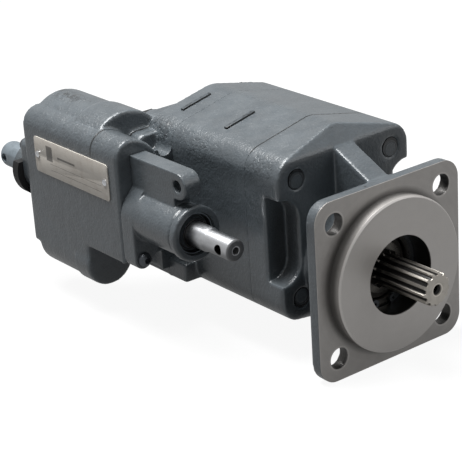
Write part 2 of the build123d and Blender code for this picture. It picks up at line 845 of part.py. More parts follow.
with BuildPart() as valve_body:
    with BuildSketch(across(end_cover_rear, z=middle_z)):
        add(casting)
    extrude(amount=end_cover_depth)
    with BuildSketch(across(rear_face, z=middle_z)):
        RectangleRounded(2 * rear_flange_half_width, 2 * rear_flange_top, rear_flange_radius)
    extrude(amount=rear_flange_depth)
    with BuildSketch(across(foot_rear, z=middle_z)):
        add(foot_outline())
    extrude(amount=foot_rear - housing_rear)
    with BuildSketch(across(rear_face + inlet_boss_height, x=inlet_x, z=middle_z)):
        Circle(inlet_boss_radius)
    extrude(amount=inlet_boss_height)
    with BuildSketch(across(web_rear)):
        with Locations(((block_right - web_bite + web_right) / 2, (web_top + web_floor) / 2)):
            RectangleRounded(web_right - block_right + web_bite, web_top - web_floor, 6)
    extrude(amount=web_rear - web_front)
    with BuildSketch(across(web_front)):
        with Locations(((block_right - web_bite + web_right) / 2, (channel_z + web_floor) / 2)):
            Rectangle(web_right - block_right + web_bite, channel_z - web_floor)
        with Locations((-body_half_width - block_offset / 2, channel_z)):
            Circle(block_offset / 2, mode=Mode.SUBTRACT)
    extrude(amount=web_front - housing_rear)
    gallery_y = rear_face + gallery_radius - 2
    with BuildSketch(sideways(block_right - web_bite, gallery_y, middle_z)):
        Circle(gallery_radius)
    extrude(amount=gallery_right - block_right + web_bite)
    with BuildSketch(across(block_rear)):
        with BuildLine():
            crown_x = block_left + block_crown_radius
            fall_end = block_shoulder - block_fall
            Line((block_left, block_floor), (block_left, block_shoulder))
            crown_z = block_shoulder + block_crown_radius
            RadiusArc((block_left, block_shoulder), (crown_x, crown_z), block_crown_radius)
            ThreePointArc(
                (crown_x, crown_z),
                (block_right - block_fall_width, block_shoulder + block_fall_rise),
                (block_right, fall_end),
            )
            Polyline((block_right, fall_end), (block_right, block_floor), (block_left, block_floor))
        make_face()
    extrude(amount=block_rear - block_front)
    with BuildSketch(across(block_rear)):
        with Locations((block_middle, (low_boss_z + block_floor) / 2)):
            Rectangle(block_thickness, block_floor - low_boss_z)
    extrude(amount=block_rear - block_step)
    low_radius = low_boss_radius
    add(
        turned(
            [
                (0, block_step),
                (low_radius + low_boss_collar, block_step),
                (low_radius + low_boss_collar, collar_end - 1),
                (low_radius, collar_end),
                (low_radius, block_rear - low_boss_chamfer),
                (low_radius - low_boss_chamfer / 2, block_rear),
                (0, block_rear),
            ],
            block_middle,
            low_boss_z,
        )
    )
    add(
        turned(
            [
                (0, outlet_boss_front),
                (outlet_boss_radius + outlet_collar, outlet_boss_front),
                (outlet_boss_radius + outlet_collar, collar_end),
                (outlet_boss_radius, collar_end + 1),
                (outlet_boss_radius, block_rear - 4),
                (outlet_boss_radius - 4, block_rear),
                (0, block_rear),
            ],
            outlet_x,
            outlet_z,
        )
    )
    # Cast locating bar on the roof
    with BuildSketch(roof_plane(end_cover_bar_y)):
        with Locations((end_cover_bar_x, 0)):
            Rectangle(bar_length, bar_width)
    extrude(amount=bar_height)
    # Bearing, bolt and dowel bores of the pump end
    with BuildSketch(across(housing_rear + bushing_length)):
        with Locations((0, 0), (0, centre_distance)):
            Circle(bushing_radius + seat_clearance)
    extrude(amount=bushing_length, mode=Mode.SUBTRACT)
    with BuildSketch(across(rear_face)):
        with Locations(*bolt_places):
            Circle(tie_bolt_diameter / 2 + tie_bolt_clearance)
    extrude(amount=rear_face - housing_rear, mode=Mode.SUBTRACT)
    with BuildSketch(across(web_rear)):
        with Locations(*bolt_places):
            Circle(washer_diameter / 2 + 1.5)
    extrude(amount=web_rear - rear_face, mode=Mode.SUBTRACT)
    with BuildSketch(across(housing_rear + dowel_length / 2, z=middle_z)):
        with Locations((-dowel_offset, 0), (dowel_offset, 0)):
            Circle(dowel_diameter / 2 + seat_clearance)
    extrude(amount=dowel_length / 2, mode=Mode.SUBTRACT)
    # Inlet port and the passages to both sides of the gear mesh
    inlet_face = rear_face + inlet_boss_height
    add(rod(inlet_radius, inlet_face - inlet_depth, inlet_face, inlet_x, middle_z), mode=Mode.SUBTRACT)
    add(rod(passage_diameter / 2, housing_rear, rear_face, passage_offset, middle_z), mode=Mode.SUBTRACT)
    add(rod(passage_diameter / 2, housing_rear, pressure_y, -passage_offset, middle_z), mode=Mode.SUBTRACT)
    # Pressure and return galleries, drilled across to the spool bore
    for drill_y, drill_end in ((pressure_y, -passage_offset), (gallery_y, inlet_x)):
        with BuildSketch(sideways(spool_x, drill_y, middle_z)):
            Circle(gallery_passage_radius)
        extrude(amount=drill_end - spool_x, mode=Mode.SUBTRACT)
    # Spool bore, through
    add(rod(spool_bore_radius, block_front, block_rear, spool_x, spool_z), mode=Mode.SUBTRACT)
    # Outlet port, load check chamber and check seat passage
    add(rod(outlet_radius, port_mouth, block_rear, outlet_port_x, outlet_port_z), mode=Mode.SUBTRACT)
    add(rod(check_bore_radius, check_seat_y, port_mouth, outlet_port_x, outlet_port_z), mode=Mode.SUBTRACT)
    add(
        rod(check_passage_radius, check_seat_y - 12, check_seat_y, outlet_port_x, outlet_port_z),
        mode=Mode.SUBTRACT,
    )
    with BuildSketch(Plane.XY.offset(spool_z)):
        with Locations(((spool_x + outlet_port_x) / 2 + 2, check_seat_y - 6)):
            Circle(gallery_passage_radius)
    extrude(amount=outlet_port_z - spool_z, mode=Mode.SUBTRACT)
    # Relief valve bore and its passage up to the spool bore
    add(
        rod(relief_bore_radius, relief_seat_y - 6, block_rear, block_middle, low_boss_z),
        mode=Mode.SUBTRACT,
    )
    with BuildSketch(Plane.XY.offset(low_boss_z)):
        with Locations((block_middle, relief_seat_y - 3)):
            Circle(relief_seat_bore)
    extrude(amount=spool_z - low_boss_z, mode=Mode.SUBTRACT)
    # Screw holes
    with BuildSketch(across(block_front + screw_depth, spool_x, spool_z)):
        with Locations(*bonnet_screw_places):
            Circle(bonnet_screw_diameter / 2 + seat_clearance)
    extrude(amount=screw_depth, mode=Mode.SUBTRACT)
    with BuildSketch(across(block_rear, spool_x, spool_z)):
        with Locations(*rear_screw_places):
            Circle(bonnet_screw_diameter / 2 + seat_clearance)
    extrude(amount=screw_depth, mode=Mode.SUBTRACT)
    # Flat under the nameplate and its drive-screw holes
    with BuildSketch(plate_seat()):
        Rectangle(plate_length + plate_flat_margin, plate_height + plate_flat_margin)
    extrude(amount=outlet_collar, mode=Mode.SUBTRACT)
    with BuildSketch(plate_seat()):
        with Locations((-plate_screw_pitch / 2, 0), (plate_screw_pitch / 2, 0)):
            Circle(plate_screw_shank / 2 + seat_clearance)
    extrude(amount=-plate_screw_length - 0.5, mode=Mode.SUBTRACT)
save("valve_body", valve_body.part)

# ---------------------------------------------------------------- spool and its tang

land_radius = spool_diameter / 2
neck_radius = spool_neck_diameter / 2
nose_radius = spool_nose_diameter / 2
waist_radius_spool = spool_waist_diameter / 2
tang_radius = tang_diameter / 2

with BuildPart() as spool:
    profile = [
        (0, spool_front),
        (nose_radius - 1, spool_front),
        (nose_radius, spool_front + 1),
        (nose_radius, spool_nose_end),
        (neck_radius, spool_nose_end + 1.2),
        (neck_radius, spool_lands[0][0]),
    ]
    for land_front, land_rear in spool_lands:
        profile += [(land_radius, land_front), (land_radius, land_rear)]
        profile += [(waist_radius_spool, land_rear + 1.5), (waist_radius_spool, land_rear + land_gap - 1.5)]
    profile = profile[:-2]
    profile += [(waist_radius_spool, spool_lands[-1][1]), (waist_radius_spool, tang_start), (0, tang_start)]
    add(turned(profile, spool_x, spool_z))
    with BuildSketch(sideways(spool_x, front_pin_y, spool_z)):
        Circle(pin_hole_diameter / 2)
    extrude(amount=spool_diameter, both=True, mode=Mode.SUBTRACT)
    add(rod(2.4, spool_front, spool_front + 4, spool_x, spool_z), mode=Mode.SUBTRACT)
    stud_hole = rod(tang_stud_radius, tang_start - tang_stud_length, tang_start, spool_x, spool_z)
    add(stud_hole, mode=Mode.SUBTRACT)
save("spool", spool.part)

with BuildPart() as spool_tang:
    add(
        turned(
            [
                (0, tang_start - tang_stud_length + 0.5),
                (tang_stud_radius - seat_clearance, tang_start - tang_stud_length + 0.5),
                (tang_stud_radius - seat_clearance, tang_start),
                (tang_radius, tang_start),
                (tang_radius, tang_end),
                (0, tang_end),
            ],
            spool_x,
            spool_z,
        )
    )
    fillet(spool_tang.faces().sort_by(Axis.Y)[-1].edges(), tang_radius * 0.7)
    with BuildSketch(sideways(spool_x, rear_pin_y, spool_z)):
        Circle(pin_hole_diameter / 2)
    extrude(amount=tang_diameter, both=True, mode=Mode.SUBTRACT)
save("spool_tang", spool_tang.part)

# ---------------------------------------------------------------- front bonnet, its wiper and screws

flange_front = block_front - bonnet_flange_thickness
lug_foot = lug_top - 2 * lug_eye_radius
lug_base = spool_z + bonnet_recess_radius + lug_bite

with BuildPart() as front_bonnet:
    with BuildSketch(across(block_front, spool_x, spool_z)):
        Circle(bonnet_flange_radius)
        with Locations(*bonnet_screw_places):
            Circle(bonnet_ear_radius)
        make_hull()
    extrude(amount=bonnet_flange_thickness)
    add(
        turned(
            [
                (0, bonnet_front),
                (bonnet_collar_radius - 0.8, bonnet_front),
                (bonnet_collar_radius, bonnet_front + 0.8),
                (bonnet_collar_radius, bonnet_front + bonnet_collar_length),
                (bonnet_radius - 0.8, bonnet_front + bonnet_collar_length + 0.5),
                (bonnet_radius - 0.8, bonnet_front + bonnet_collar_length + 2),
                (bonnet_radius, bonnet_front + bonnet_collar_length + 2.8),
                (bonnet_radius, block_front),
                (0, block_front),
            ],
            spool_x,
            spool_z,
        )
    )
    recess_end = bonnet_front + bonnet_recess_depth
    rod_bore_radius = neck_radius + spool_rod_clearance
    add(
        turned(
            [
                (0, bonnet_front),
                (bonnet_recess_radius, bonnet_front),
                (bonnet_recess_radius, recess_end),
                (rod_bore_radius, recess_end),
                (rod_bore_radius, front_stop),
                (spool_chamber_radius, front_stop),
                (spool_chamber_radius, block_front),
                (0, block_front),
            ],
            spool_x,
            spool_z,
        ),
        mode=Mode.SUBTRACT,
    )
    with BuildSketch(across(block_front, spool_x, spool_z)):
        with Locations(*bonnet_screw_places):
            Circle(bonnet_screw_diameter / 2 + screw_shank_gap)
    extrude(amount=bonnet_flange_thickness, mode=Mode.SUBTRACT)
    with BuildSketch(Plane.YZ.offset(spool_x - lug_thickness / 2)):
        with BuildLine():
            Polyline(
                (lug_eye_y, lug_top),
                (block_front, lug_top),
                (block_front, lug_base),
                (lug_eye_y + lug_undercut, lug_base),
                (lug_eye_y + lug_undercut, lug_foot),
                (lug_eye_y, lug_foot),
            )
            ThreePointArc(
                (lug_eye_y, lug_foot),
                (lug_eye_y - lug_eye_radius, lug_top - lug_eye_radius),
                (lug_eye_y, lug_top),
            )
        make_face()
    extrude(amount=lug_thickness)
    with BuildSketch(Plane.YZ.offset(spool_x - lug_thickness / 2)):
        with Locations((lug_eye_y, lug_top - lug_eye_radius)):
            Circle(lug_hole_diameter / 2)
    extrude(amount=lug_thickness, mode=Mode.SUBTRACT)
    with BuildSketch(across(flange_front, spool_x, spool_z)):
        with Locations(*bonnet_screw_places):
            Circle(bonnet_screw_head / 2 + screw_head_gap)
    extrude(amount=2 * screw_head_height, mode=Mode.SUBTRACT)
save("front_bonnet", front_bonnet.part)

wiper_inner = neck_radius + spool_rod_clearance
wiper_outer = bonnet_recess_radius - seat_clearance
wiper_front = bonnet_front + wiper_setback
front_spool_wiper = turned(
    [
        (wiper_inner, wiper_front + wiper_lip / 2),
        (wiper_inner + wiper_lip, wiper_front),
        (wiper_inner + 1.5 * wiper_lip, wiper_front + wiper_groove),
        (wiper_outer - 1.5 * wiper_lip, wiper_front + wiper_groove),
        (wiper_outer - wiper_lip, wiper_front + wiper_lip / 2),
        (wiper_outer, wiper_front + wiper_lip / 2),
        (wiper_outer, recess_end),
        (wiper_inner + wiper_lip / 2, recess_end),
    ],
    spool_x,
    spool_z,
)
save("front_spool_wiper", front_spool_wiper)


def round_head_screw(head_y, direction, grip, x, z):
    """Round-head screw with a hex socket; direction is -1 when the head faces forward, +1 rearward."""
    head = bonnet_screw_head / 2
    shank = bonnet_screw_diameter / 2
    tail_y = head_y - direction * (grip + screw_depth - 1)
    rise = direction * screw_head_height
    with BuildPart() as screw:
        add(
            turned(
                [
                    (0, tail_y),
                    (shank, tail_y),
                    (shank, head_y),
                    (head, head_y),
                    (head, head_y + 0.3 * rise),
                    (0.82 * head, head_y + 0.72 * rise),
                    (0.55 * head, head_y + rise),
                    (0, head_y + rise),
                ],
                x,
                z,
            )
        )
        with BuildSketch(across(head_y + rise, x, z)):
            RegularPolygon(screw_socket / 2, 6, major_radius=False)
        extrude(amount=direction * screw_socket_depth, mode=Mode.SUBTRACT)
    return screw.part


with BuildPart() as front_bonnet_screws:
    for x, z in bonnet_screw_places:
        add(round_head_screw(flange_front, -1, bonnet_flange_thickness, spool_x + x, spool_z + z))
save("front_bonnet_screws", front_bonnet_screws.part)

# ---------------------------------------------------------------- rear bonnet, its wiper, guard and screws

rear_flange_y = block_rear + rear_bonnet_thickness
rear_bonnet_end = block_rear + rear_bonnet_length

with BuildPart() as rear_bonnet:
    with BuildSketch(across(rear_flange_y, spool_x, spool_z)):
        Circle(rear_flange_round)
        with Locations(*rear_screw_places):
            Circle(rear_ear_radius)
        make_hull()
    extrude(amount=rear_bonnet_thickness)
    add(
        turned(
            [
                (0, block_rear),
                (rear_bonnet_radius, block_rear),
                (rear_bonnet_radius, rear_bonnet_end - 1),
                (rear_bonnet_radius - 1, rear_bonnet_end),
                (0, rear_bonnet_end),
            ],
            spool_x,
            spool_z,
        )
    )
    tang_bore = rod(tang_radius + spool_rod_clearance, block_rear, rear_bonnet_end, spool_x, spool_z)
    add(tang_bore, mode=Mode.SUBTRACT)
    add(rod(spool_chamber_radius, block_rear, rear_stop, spool_x, spool_z), mode=Mode.SUBTRACT)
    wiper_seat = rear_bonnet_end - rear_wiper_width
    add(rod(rear_wiper_radius, wiper_seat, rear_bonnet_end, spool_x, spool_z), mode=Mode.SUBTRACT)
    with BuildSketch(across(rear_flange_y, spool_x, spool_z)):
        with Locations(*rear_screw_places):
            Circle(bonnet_screw_diameter / 2 + screw_shank_gap)
    extrude(amount=rear_bonnet_thickness, mode=Mode.SUBTRACT)
save("rear_bonnet", rear_bonnet.part)

rear_spool_wiper = ring(
    tang_radius + spool_rod_clearance,
    rear_wiper_radius - seat_clearance,
    wiper_seat,
    rear_bonnet_end,
    spool_x,
    spool_z,
)
save("rear_spool_wiper", rear_spool_wiper)

with BuildPart() as spool_guard:
    with BuildSketch(across(rear_flange_y + guard_length, spool_x, spool_z)):
        Circle(guard_radius)
        Circle(rear_bonnet_radius + seat_clearance, mode=Mode.SUBTRACT)
        with Locations((0, guard_opening + guard_radius)):
            Rectangle(2 * guard_radius, 2 * guard_radius, mode=Mode.SUBTRACT)
        with Locations((rear_screw_x, -rear_screw_z)):
            Circle(bonnet_screw_head / 2 + screw_head_gap, mode=Mode.SUBTRACT)
    extrude(amount=guard_length)
save("spool_guard", spool_guard.part)

with BuildPart() as rear_bonnet_screws:
    for x, z in rear_screw_places:
        add(round_head_screw(rear_flange_y, 1, rear_bonnet_thickness, spool_x + x, spool_z + z))
save("rear_bonnet_screws", rear_bonnet_screws.part)

# ---------------------------------------------------------------- load check valve

check_guide_radius = check_bore_radius - check_clearance
cone_top = check_passage_radius - 2.4
cone_y = check_seat_y - 2.3
poppet_shoulder = cone_y + check_guide_radius - cone_top
poppet_end = poppet_shoulder + check_poppet_length
spring_seat_y = poppet_shoulder + 2.0
cup_radius = check_guide_radius - 3.4
retainer_front = poppet_end + check_lift + stop_gap

check_poppet = turned(
    [
        (0, cone_y),
        (cone_top, cone_y),
        (check_guide_radius, poppet_shoulder),
        (check_guide_radius, poppet_end),
        (cup_radius, poppet_end),
        (cup_radius, spring_seat_y),
        (0, spring_seat_y),
    ],
    outlet_port_x,
    outlet_port_z,
)
save("check_poppet", check_poppet)

check_spring = coil_spring(
    cup_radius - check_wire / 2 - 0.4,
    check_wire,
    spring_seat_y,
    retainer_front,
    check_coils,
    outlet_port_x,
    outlet_port_z,
)
save("check_spring", check_spring)

with BuildPart() as check_retainer:
    with BuildSketch(across(retainer_front + retainer_thickness, outlet_port_x, outlet_port_z)):
        Circle(check_bore_radius - seat_clearance)
        Circle(3.0, mode=Mode.SUBTRACT)
        with PolarLocations(check_bore_radius - 4.2, 6):
            Circle(2.1, mode=Mode.SUBTRACT)
    extrude(amount=retainer_thickness)
save("check_retainer", check_retainer.part)

# ---------------------------------------------------------------- relief valve

seat_end = relief_seat_y + relief_seat_length
relief_poppet_end = seat_end + relief_poppet_length
adjuster_front = relief_poppet_end + relief_spring_length
adjuster_end = adjuster_front + relief_adjuster_length
adjuster_radius = relief_bore_radius - seat_clearance

relief_seat = ring(relief_seat_bore, adjuster_radius, relief_seat_y, seat_end, block_middle, low_boss_z)
save("relief_seat", relief_seat)

relief_poppet = turned(
    [
        (0, seat_end - 2.2),
        (relief_seat_bore - 2.3, seat_end - 2.2),
        (relief_poppet_radius, seat_end + relief_poppet_radius - relief_seat_bore + 0.1),
        (relief_poppet_radius, relief_poppet_end),
        (relief_pin_radius, relief_poppet_end),
        (relief_pin_radius, adjuster_front - relief_lift - stop_gap),
        (0, adjuster_front - relief_lift - stop_gap),
    ],
    block_middle,
    low_boss_z,
)
save("relief_poppet", relief_poppet)

relief_spring = coil_spring(
    relief_pin_radius + relief_wire / 2 + 0.5,
    relief_wire,
    relief_poppet_end,
    adjuster_front,
    relief_coils,
    block_middle,
    low_boss_z,
)
save("relief_spring", relief_spring)

with BuildPart() as relief_adjuster:
    add(rod(adjuster_radius, adjuster_front, adjuster_end, block_middle, low_boss_z))
    with BuildSketch(across(adjuster_end, block_middle, low_boss_z)):
        Rectangle(2 * adjuster_radius + 1, relief_slot_width)
    extrude(amount=relief_slot_depth, mode=Mode.SUBTRACT)
save("relief_adjuster", relief_adjuster.part)

with BuildPart() as relief_plug:
    add(rod(adjuster_radius, block_rear - relief_plug_length, block_rear, block_middle, low_boss_z))
    chamfer(relief_plug.faces().sort_by(Axis.Y)[-1].edges(), 0.8)
    with BuildSketch(across(block_rear, block_middle, low_boss_z)):
        RegularPolygon(relief_plug_socket / 2, 6, major_radius=False)
    extrude(amount=relief_socket_depth, mode=Mode.SUBTRACT)
save("relief_plug", relief_plug.part)

# ---------------------------------------------------------------- nameplate

with BuildPart() as nameplate:
    with BuildSketch(plate_seat()):
        RectangleRounded(plate_length, plate_height, plate_corner_radius)
        with Locations((-plate_screw_pitch / 2, 0), (plate_screw_pitch / 2, 0)):
            Circle(plate_screw_shank / 2 + seat_clearance, mode=Mode.SUBTRACT)
    extrude(amount=plate_thickness)
save("nameplate", nameplate.part)

with BuildPart() as nameplate_screws:
    for side in (-1, 1):
        screw_y = plate_centre_y + side * plate_screw_pitch / 2
        screw_place = (block_left, screw_y, plate_centre_z)
        with BuildSketch(Plane(origin=screw_place, x_dir=(-1, 0, 0), z_dir=(0, 1, 0))):
            with BuildLine():
                Polyline(
                    (-plate_screw_length, 0),
                    (-plate_screw_length, plate_screw_shank / 2),
                    (plate_thickness, plate_screw_shank / 2),
                    (plate_thickness, plate_screw_head / 2),
                    (plate_thickness + 1.0, plate_screw_head * 0.36),
                    (plate_thickness + 1.6, 0),
                    close=True,
                )
            make_face()
        revolve(axis=Axis((0, screw_y, plate_centre_z), (1, 0, 0)))
save("nameplate_screws", nameplate_screws.part)
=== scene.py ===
"""Direct-mount hydraulic gear pump with a spool valve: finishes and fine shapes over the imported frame."""

from math import cos, pi, radians, sin

import bmesh
import bpy
import numpy as np
from bpy.props import FloatProperty, FloatVectorProperty, IntProperty, PointerProperty
from mathutils import Matrix, Vector


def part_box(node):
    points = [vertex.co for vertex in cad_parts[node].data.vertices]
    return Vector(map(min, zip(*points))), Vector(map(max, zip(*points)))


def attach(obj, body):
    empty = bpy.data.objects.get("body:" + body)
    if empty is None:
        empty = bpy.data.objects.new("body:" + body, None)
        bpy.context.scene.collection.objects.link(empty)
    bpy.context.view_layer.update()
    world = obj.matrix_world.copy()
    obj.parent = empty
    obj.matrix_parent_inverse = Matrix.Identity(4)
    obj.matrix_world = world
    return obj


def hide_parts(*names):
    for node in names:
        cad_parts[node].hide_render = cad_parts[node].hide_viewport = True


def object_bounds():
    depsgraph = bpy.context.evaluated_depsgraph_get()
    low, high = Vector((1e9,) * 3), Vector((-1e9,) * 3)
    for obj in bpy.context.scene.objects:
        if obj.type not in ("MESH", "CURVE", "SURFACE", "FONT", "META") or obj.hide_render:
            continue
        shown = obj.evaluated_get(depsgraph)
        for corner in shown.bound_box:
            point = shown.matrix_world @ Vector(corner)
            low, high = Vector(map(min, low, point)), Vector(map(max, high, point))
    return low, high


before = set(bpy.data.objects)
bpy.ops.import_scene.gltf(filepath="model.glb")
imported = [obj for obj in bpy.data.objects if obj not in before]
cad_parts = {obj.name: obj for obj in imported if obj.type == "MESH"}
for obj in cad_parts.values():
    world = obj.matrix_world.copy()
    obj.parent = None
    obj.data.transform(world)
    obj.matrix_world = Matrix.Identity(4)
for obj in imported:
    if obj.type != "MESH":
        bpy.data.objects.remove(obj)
CAD_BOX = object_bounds()

bl_info = {
    "name": "Gear Pump with Spool Valve",
    "version": (1, 0, 0),
    "blender": (4, 5, 0),
    "location": "View3D > Sidebar > Gear Pump",
    "description": "Builds the painted castings, shaft, valve spool and small parts of a gear pump",
    "category": "Object",
}

MM = 0.001

# Places and sizes in millimetres on the solids that the finishes line up with
PILOT_RADIUS = 50.8
PILOT_FACE = -9.5
FLANGE_BORE = 27.6
COVER_BORE_END = 45
BOLT_CIRCLE = 127.0
BOLT_HOLE = 7.2
FLANGE_THICKNESS = 12
PIN_MARK = (-15.8 * MM, 3.4 * MM, 60 * MM)
TIE_BOLT_X = 39.5
IDLER_HEIGHT = 44
TOOTH_ROOT = 10.5
MACHINED_EDGE = 2
COVER_BORE, COVER_BORE_DEPTH = 30, 30
OUTLET_AXIS = (-68.5, 56.5)
OUTLET_COLLAR = 208.5
COLLAR_REACH = 2.2
OUTLET_RADIUS = 28
SPOOL_AXIS = (-83.5, 25.4)
SPOOL_BORE, SPOOL_BORE_DEPTH = 14, 30
SPOOL_CHAMBER = 14.6
PIN_FROM_NOSE = 9
ROOF_ANGLE = radians(12.5)
ROOF_BARS = ((-27, 110), (-24, 160.5))

# Dark lines drawn on the enamel, the joint in front of the gear housing and a painted shadow line at the step behind
# the end cover's rear edge: level along Y in metres, then half width and lowest height in millimetres
JOINT_AND_SHADOW_LINES = (
    (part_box("gear_housing")[0].y, 0.85, 72),
    (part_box("gear_housing")[1].y + 27.6 * MM, 1.1, 58),
)

# Coarse cast skin, and patches of painted shade in hollows and low on the body: centre, half size and strength, in
# millimetres
COARSE_SKIN = {
    "mounting_cover": (((-52, 58, 70), (9, 14, 9), 0.35),),
    "gear_housing": (((-52, 125, 68), (8, 26, 9), 0.3),),
    "valve_body": (
        ((-52, 163, 69), (12, 14, 9), 0.6),
        ((-73, 241, 84), (7, 20, 7), 1.0),
        ((-92, 195, 72), (14, 50, 14), 0.22),
    ),
}
SHADE_PATCHES = {
    "mounting_cover": (
        ((-44, 52, 16), (9, 12, 34), 0.75),
        ((-40, 40, -18), (14, 10, 12), 0.6),
        ((48, 38, 22), (12, 14, 40), 0.4),
    ),
    "gear_housing": (((-58, 112, -22), (9, 26, 16), 0.4),),
    "valve_body": (((-60, 156, 52), (9, 8, 8), 0.5),),
}

# A zone is at full strength up to the first share of its half size and gone at the second
ZONE_FADE = (0.5, 4 / 3)

# Smoothing of the castings: FULL_EDGE is how far a corner goes where the edge counts as fully worn
SMOOTHING_PULL = 0.55
FULL_EDGE = 0.7 * MM
SEAM_REACH = 0.8
SEAM_SOFTNESS = 0.12
COLLAR_SOFTNESS = 0.1
CASTING_SHARP = 34

SCREW_SIDES = 36
DRIVE_SCREW_SIDES = 28
DRIVE_SCREW_RISE = 1.6 * MM
DRIVE_SCREW_SHANK = 1 * MM

# Stage, in metres
FLOOR_REACH = 4.0
KEY_PLACE, KEY_SIZE = (-0.18, 0.36, 1.15), (0.75, 0.75)
FILL_PLACE, FILL_SIZE = (0.9, -0.9, 0.5), (0.7, 0.9)
CAMERA_PLACE = (-0.6589, -0.7147, 0.4300)
CAMERA_RIGHT = (0.7826, -0.6195, -0.0614)
CAMERA_UP = (0.2797, 0.2629, 0.9236)
CAMERA_BACK = (-0.5559, -0.7399, 0.3788)


def linear(red, green, blue):
    """Scene-linear colour from 8-bit screen values."""
    channels = [c / 255 for c in (red, green, blue)]
    return tuple(c / 12.92 if c <= 0.04045 else ((c + 0.055) / 1.055) ** 2.4 for c in channels)


def colour(name, description, screen):
    """Colour property with a default given in screen values."""
    return FloatVectorProperty(
        name=name, description=description, subtype="COLOR", size=3, min=0, max=1, default=linear(*screen)
    )


def share(name, description, default):
    """Property between 0 and 1."""
    return FloatProperty(name=name, description=description, min=0, max=1, default=default, subtype="FACTOR")


def length(name, description, millimetres):
    """Length property with a default given in millimetres."""
    return FloatProperty(name=name, description=description, default=millimetres * MM, unit="LENGTH")


def whole(name, description, default, least=0, most=40):
    """Whole-number property."""
    return IntProperty(name=name, description=description, default=default, min=least, max=most)


def power(name, description, watts):
    """Lamp power property."""
    return FloatProperty(name=name, description=description, default=watts, unit="POWER")


class PumpFinishes(bpy.types.PropertyGroup):
    """Colours and gloss of the pump's surfaces."""

    paint: colour("Paint", "Blue-grey enamel on the castings", (86, 93, 98))
    machined: colour("Machined iron", "Bare turned face of the flange", (186, 183, 180))
    steel: colour("Steel", "Ground shaft steel", (200, 195, 187))
    # This near-black is oil film on smudged metal, and also painted shade in the flange's bore and bolt holes, round
    # the pilot's foot, in the shaft's spline roots, centre hole and run-out, and in the spool's holes
    grime_and_shade: colour("Grime", "Oil-dark film in roots and bores", (22, 21, 20))
    chrome: colour("Chrome", "Hard chrome on the spool", (236, 238, 241))
    rubber: colour("Rubber", "Wipers and seals", (20, 20, 21))
    oxide: colour("Black oxide", "Socket screws", (96, 100, 105))
    bronze: colour("Bronze", "Bushings and thrust plates", (170, 128, 76))
    plate: colour("Nameplate", "Bare aluminium of the nameplate", (222, 216, 207))
    ink: colour("Plate print", "Print on the nameplate", (34, 33, 33))
    dust: colour("Dust", "Dust on upward faces", (140, 141, 140))
    chip: colour("Chips", "Iron where the enamel is chipped", (158, 156, 152))
    oil_haze: colour("Plate haze", "Brown haze on the nameplate", (150, 132, 114))
    paint_roughness: share("Paint roughness", "Micro roughness of the enamel", 0.33)
    coat: share("Coat", "Weight of the clear gloss over the enamel", 0.6)
    coat_roughness: share("Coat roughness", "Micro roughness of the clear gloss", 0.26)
    iron_roughness: share("Iron roughness", "Micro roughness of the machined iron", 0.38)
    iron_metallic: share("Iron metallic", "How metallic the machined iron is", 0.6)
    skin_depth: length("Cast skin depth", "Depth of the cast skin under the enamel", 0.55)


class PumpShapes(bpy.types.PropertyGroup):
    """Sizes of the fine shapes added to the frame."""

    casting_detail: whole("Casting detail", "Octree depth of the cast surfaces", 7, 5, 8)
    small_casting_detail: whole("Small casting detail", "Octree depth of the rear bonnet", 6, 5, 8)
    casting_softness: whole("Casting softness", "Smoothing steps on the main castings", 6)
    bonnet_softness: whole("Bonnet softness", "Smoothing steps on the front bonnet", 5)
    small_casting_softness: whole("Small casting softness", "Smoothing steps on the rear bonnet", 3)
    screw_head: length("Screw head", "Diameter of the bonnet screws' heads", 9.5)
    screw_rise: length("Screw head height", "Height of the bonnet screws' heads", 4)
    socket: length("Socket", "Width across flats of the screws' sockets", 4.2)
    bar_length: length("Bar length", "Length of a roof bar", 24.6)
    bar_width: length("Bar width", "Width of a roof bar", 2.8)
    bar_height: length("Bar height", "Height of a roof bar", 2.1)
    bar_bevel: length("Bar bevel", "Bevel on the edges of a roof bar", 0.35)
    spool_bevel: length("Spool bevel", "Bevel on the spool's edges", 0.45)
    tang_bevel: length("Tang bevel", "Bevel on the tang's edges", 0.4)
    plate_bevel: length("Plate bevel", "Bevel on the nameplate's edges", 0.18)
    drive_screw_head: length("Drive screw head", "Diameter of the nameplate's drive screws", 4.6)


class PumpStage(bpy.types.PropertyGroup):
    """Floor, lamps and camera."""

    key_power: power("Key lamp", "Power of the lamp overhead", 25.0)
    fill_power: power("Fill lamp", "Power of the lamp on the right", 2.5)
    sky: FloatProperty(name="Sky level", description="Level of the even light all round", default=0.14, min=0, max=2)
    mirror_sky: share("Mirrored sky", "Level of the sky that gloss shows", 0.4)
    mirror_floor: share("Mirrored floor", "Share of the floor's glow that gloss shows", 0.3)
    floor_glow: share("Floor glow", "Level of the floor's own glow towards the camera", 0.92)
    floor_shade: share("Floor shade", "How pale the floor is to the light", 0.13)
    lens: FloatProperty(name="Lens", description="Focal length in millimetres", default=132.1, min=10, max=400)


def finishes():
    return bpy.context.scene.pump_finishes


def shapes():
    return bpy.context.scene.pump_shapes


# ---- Node tools


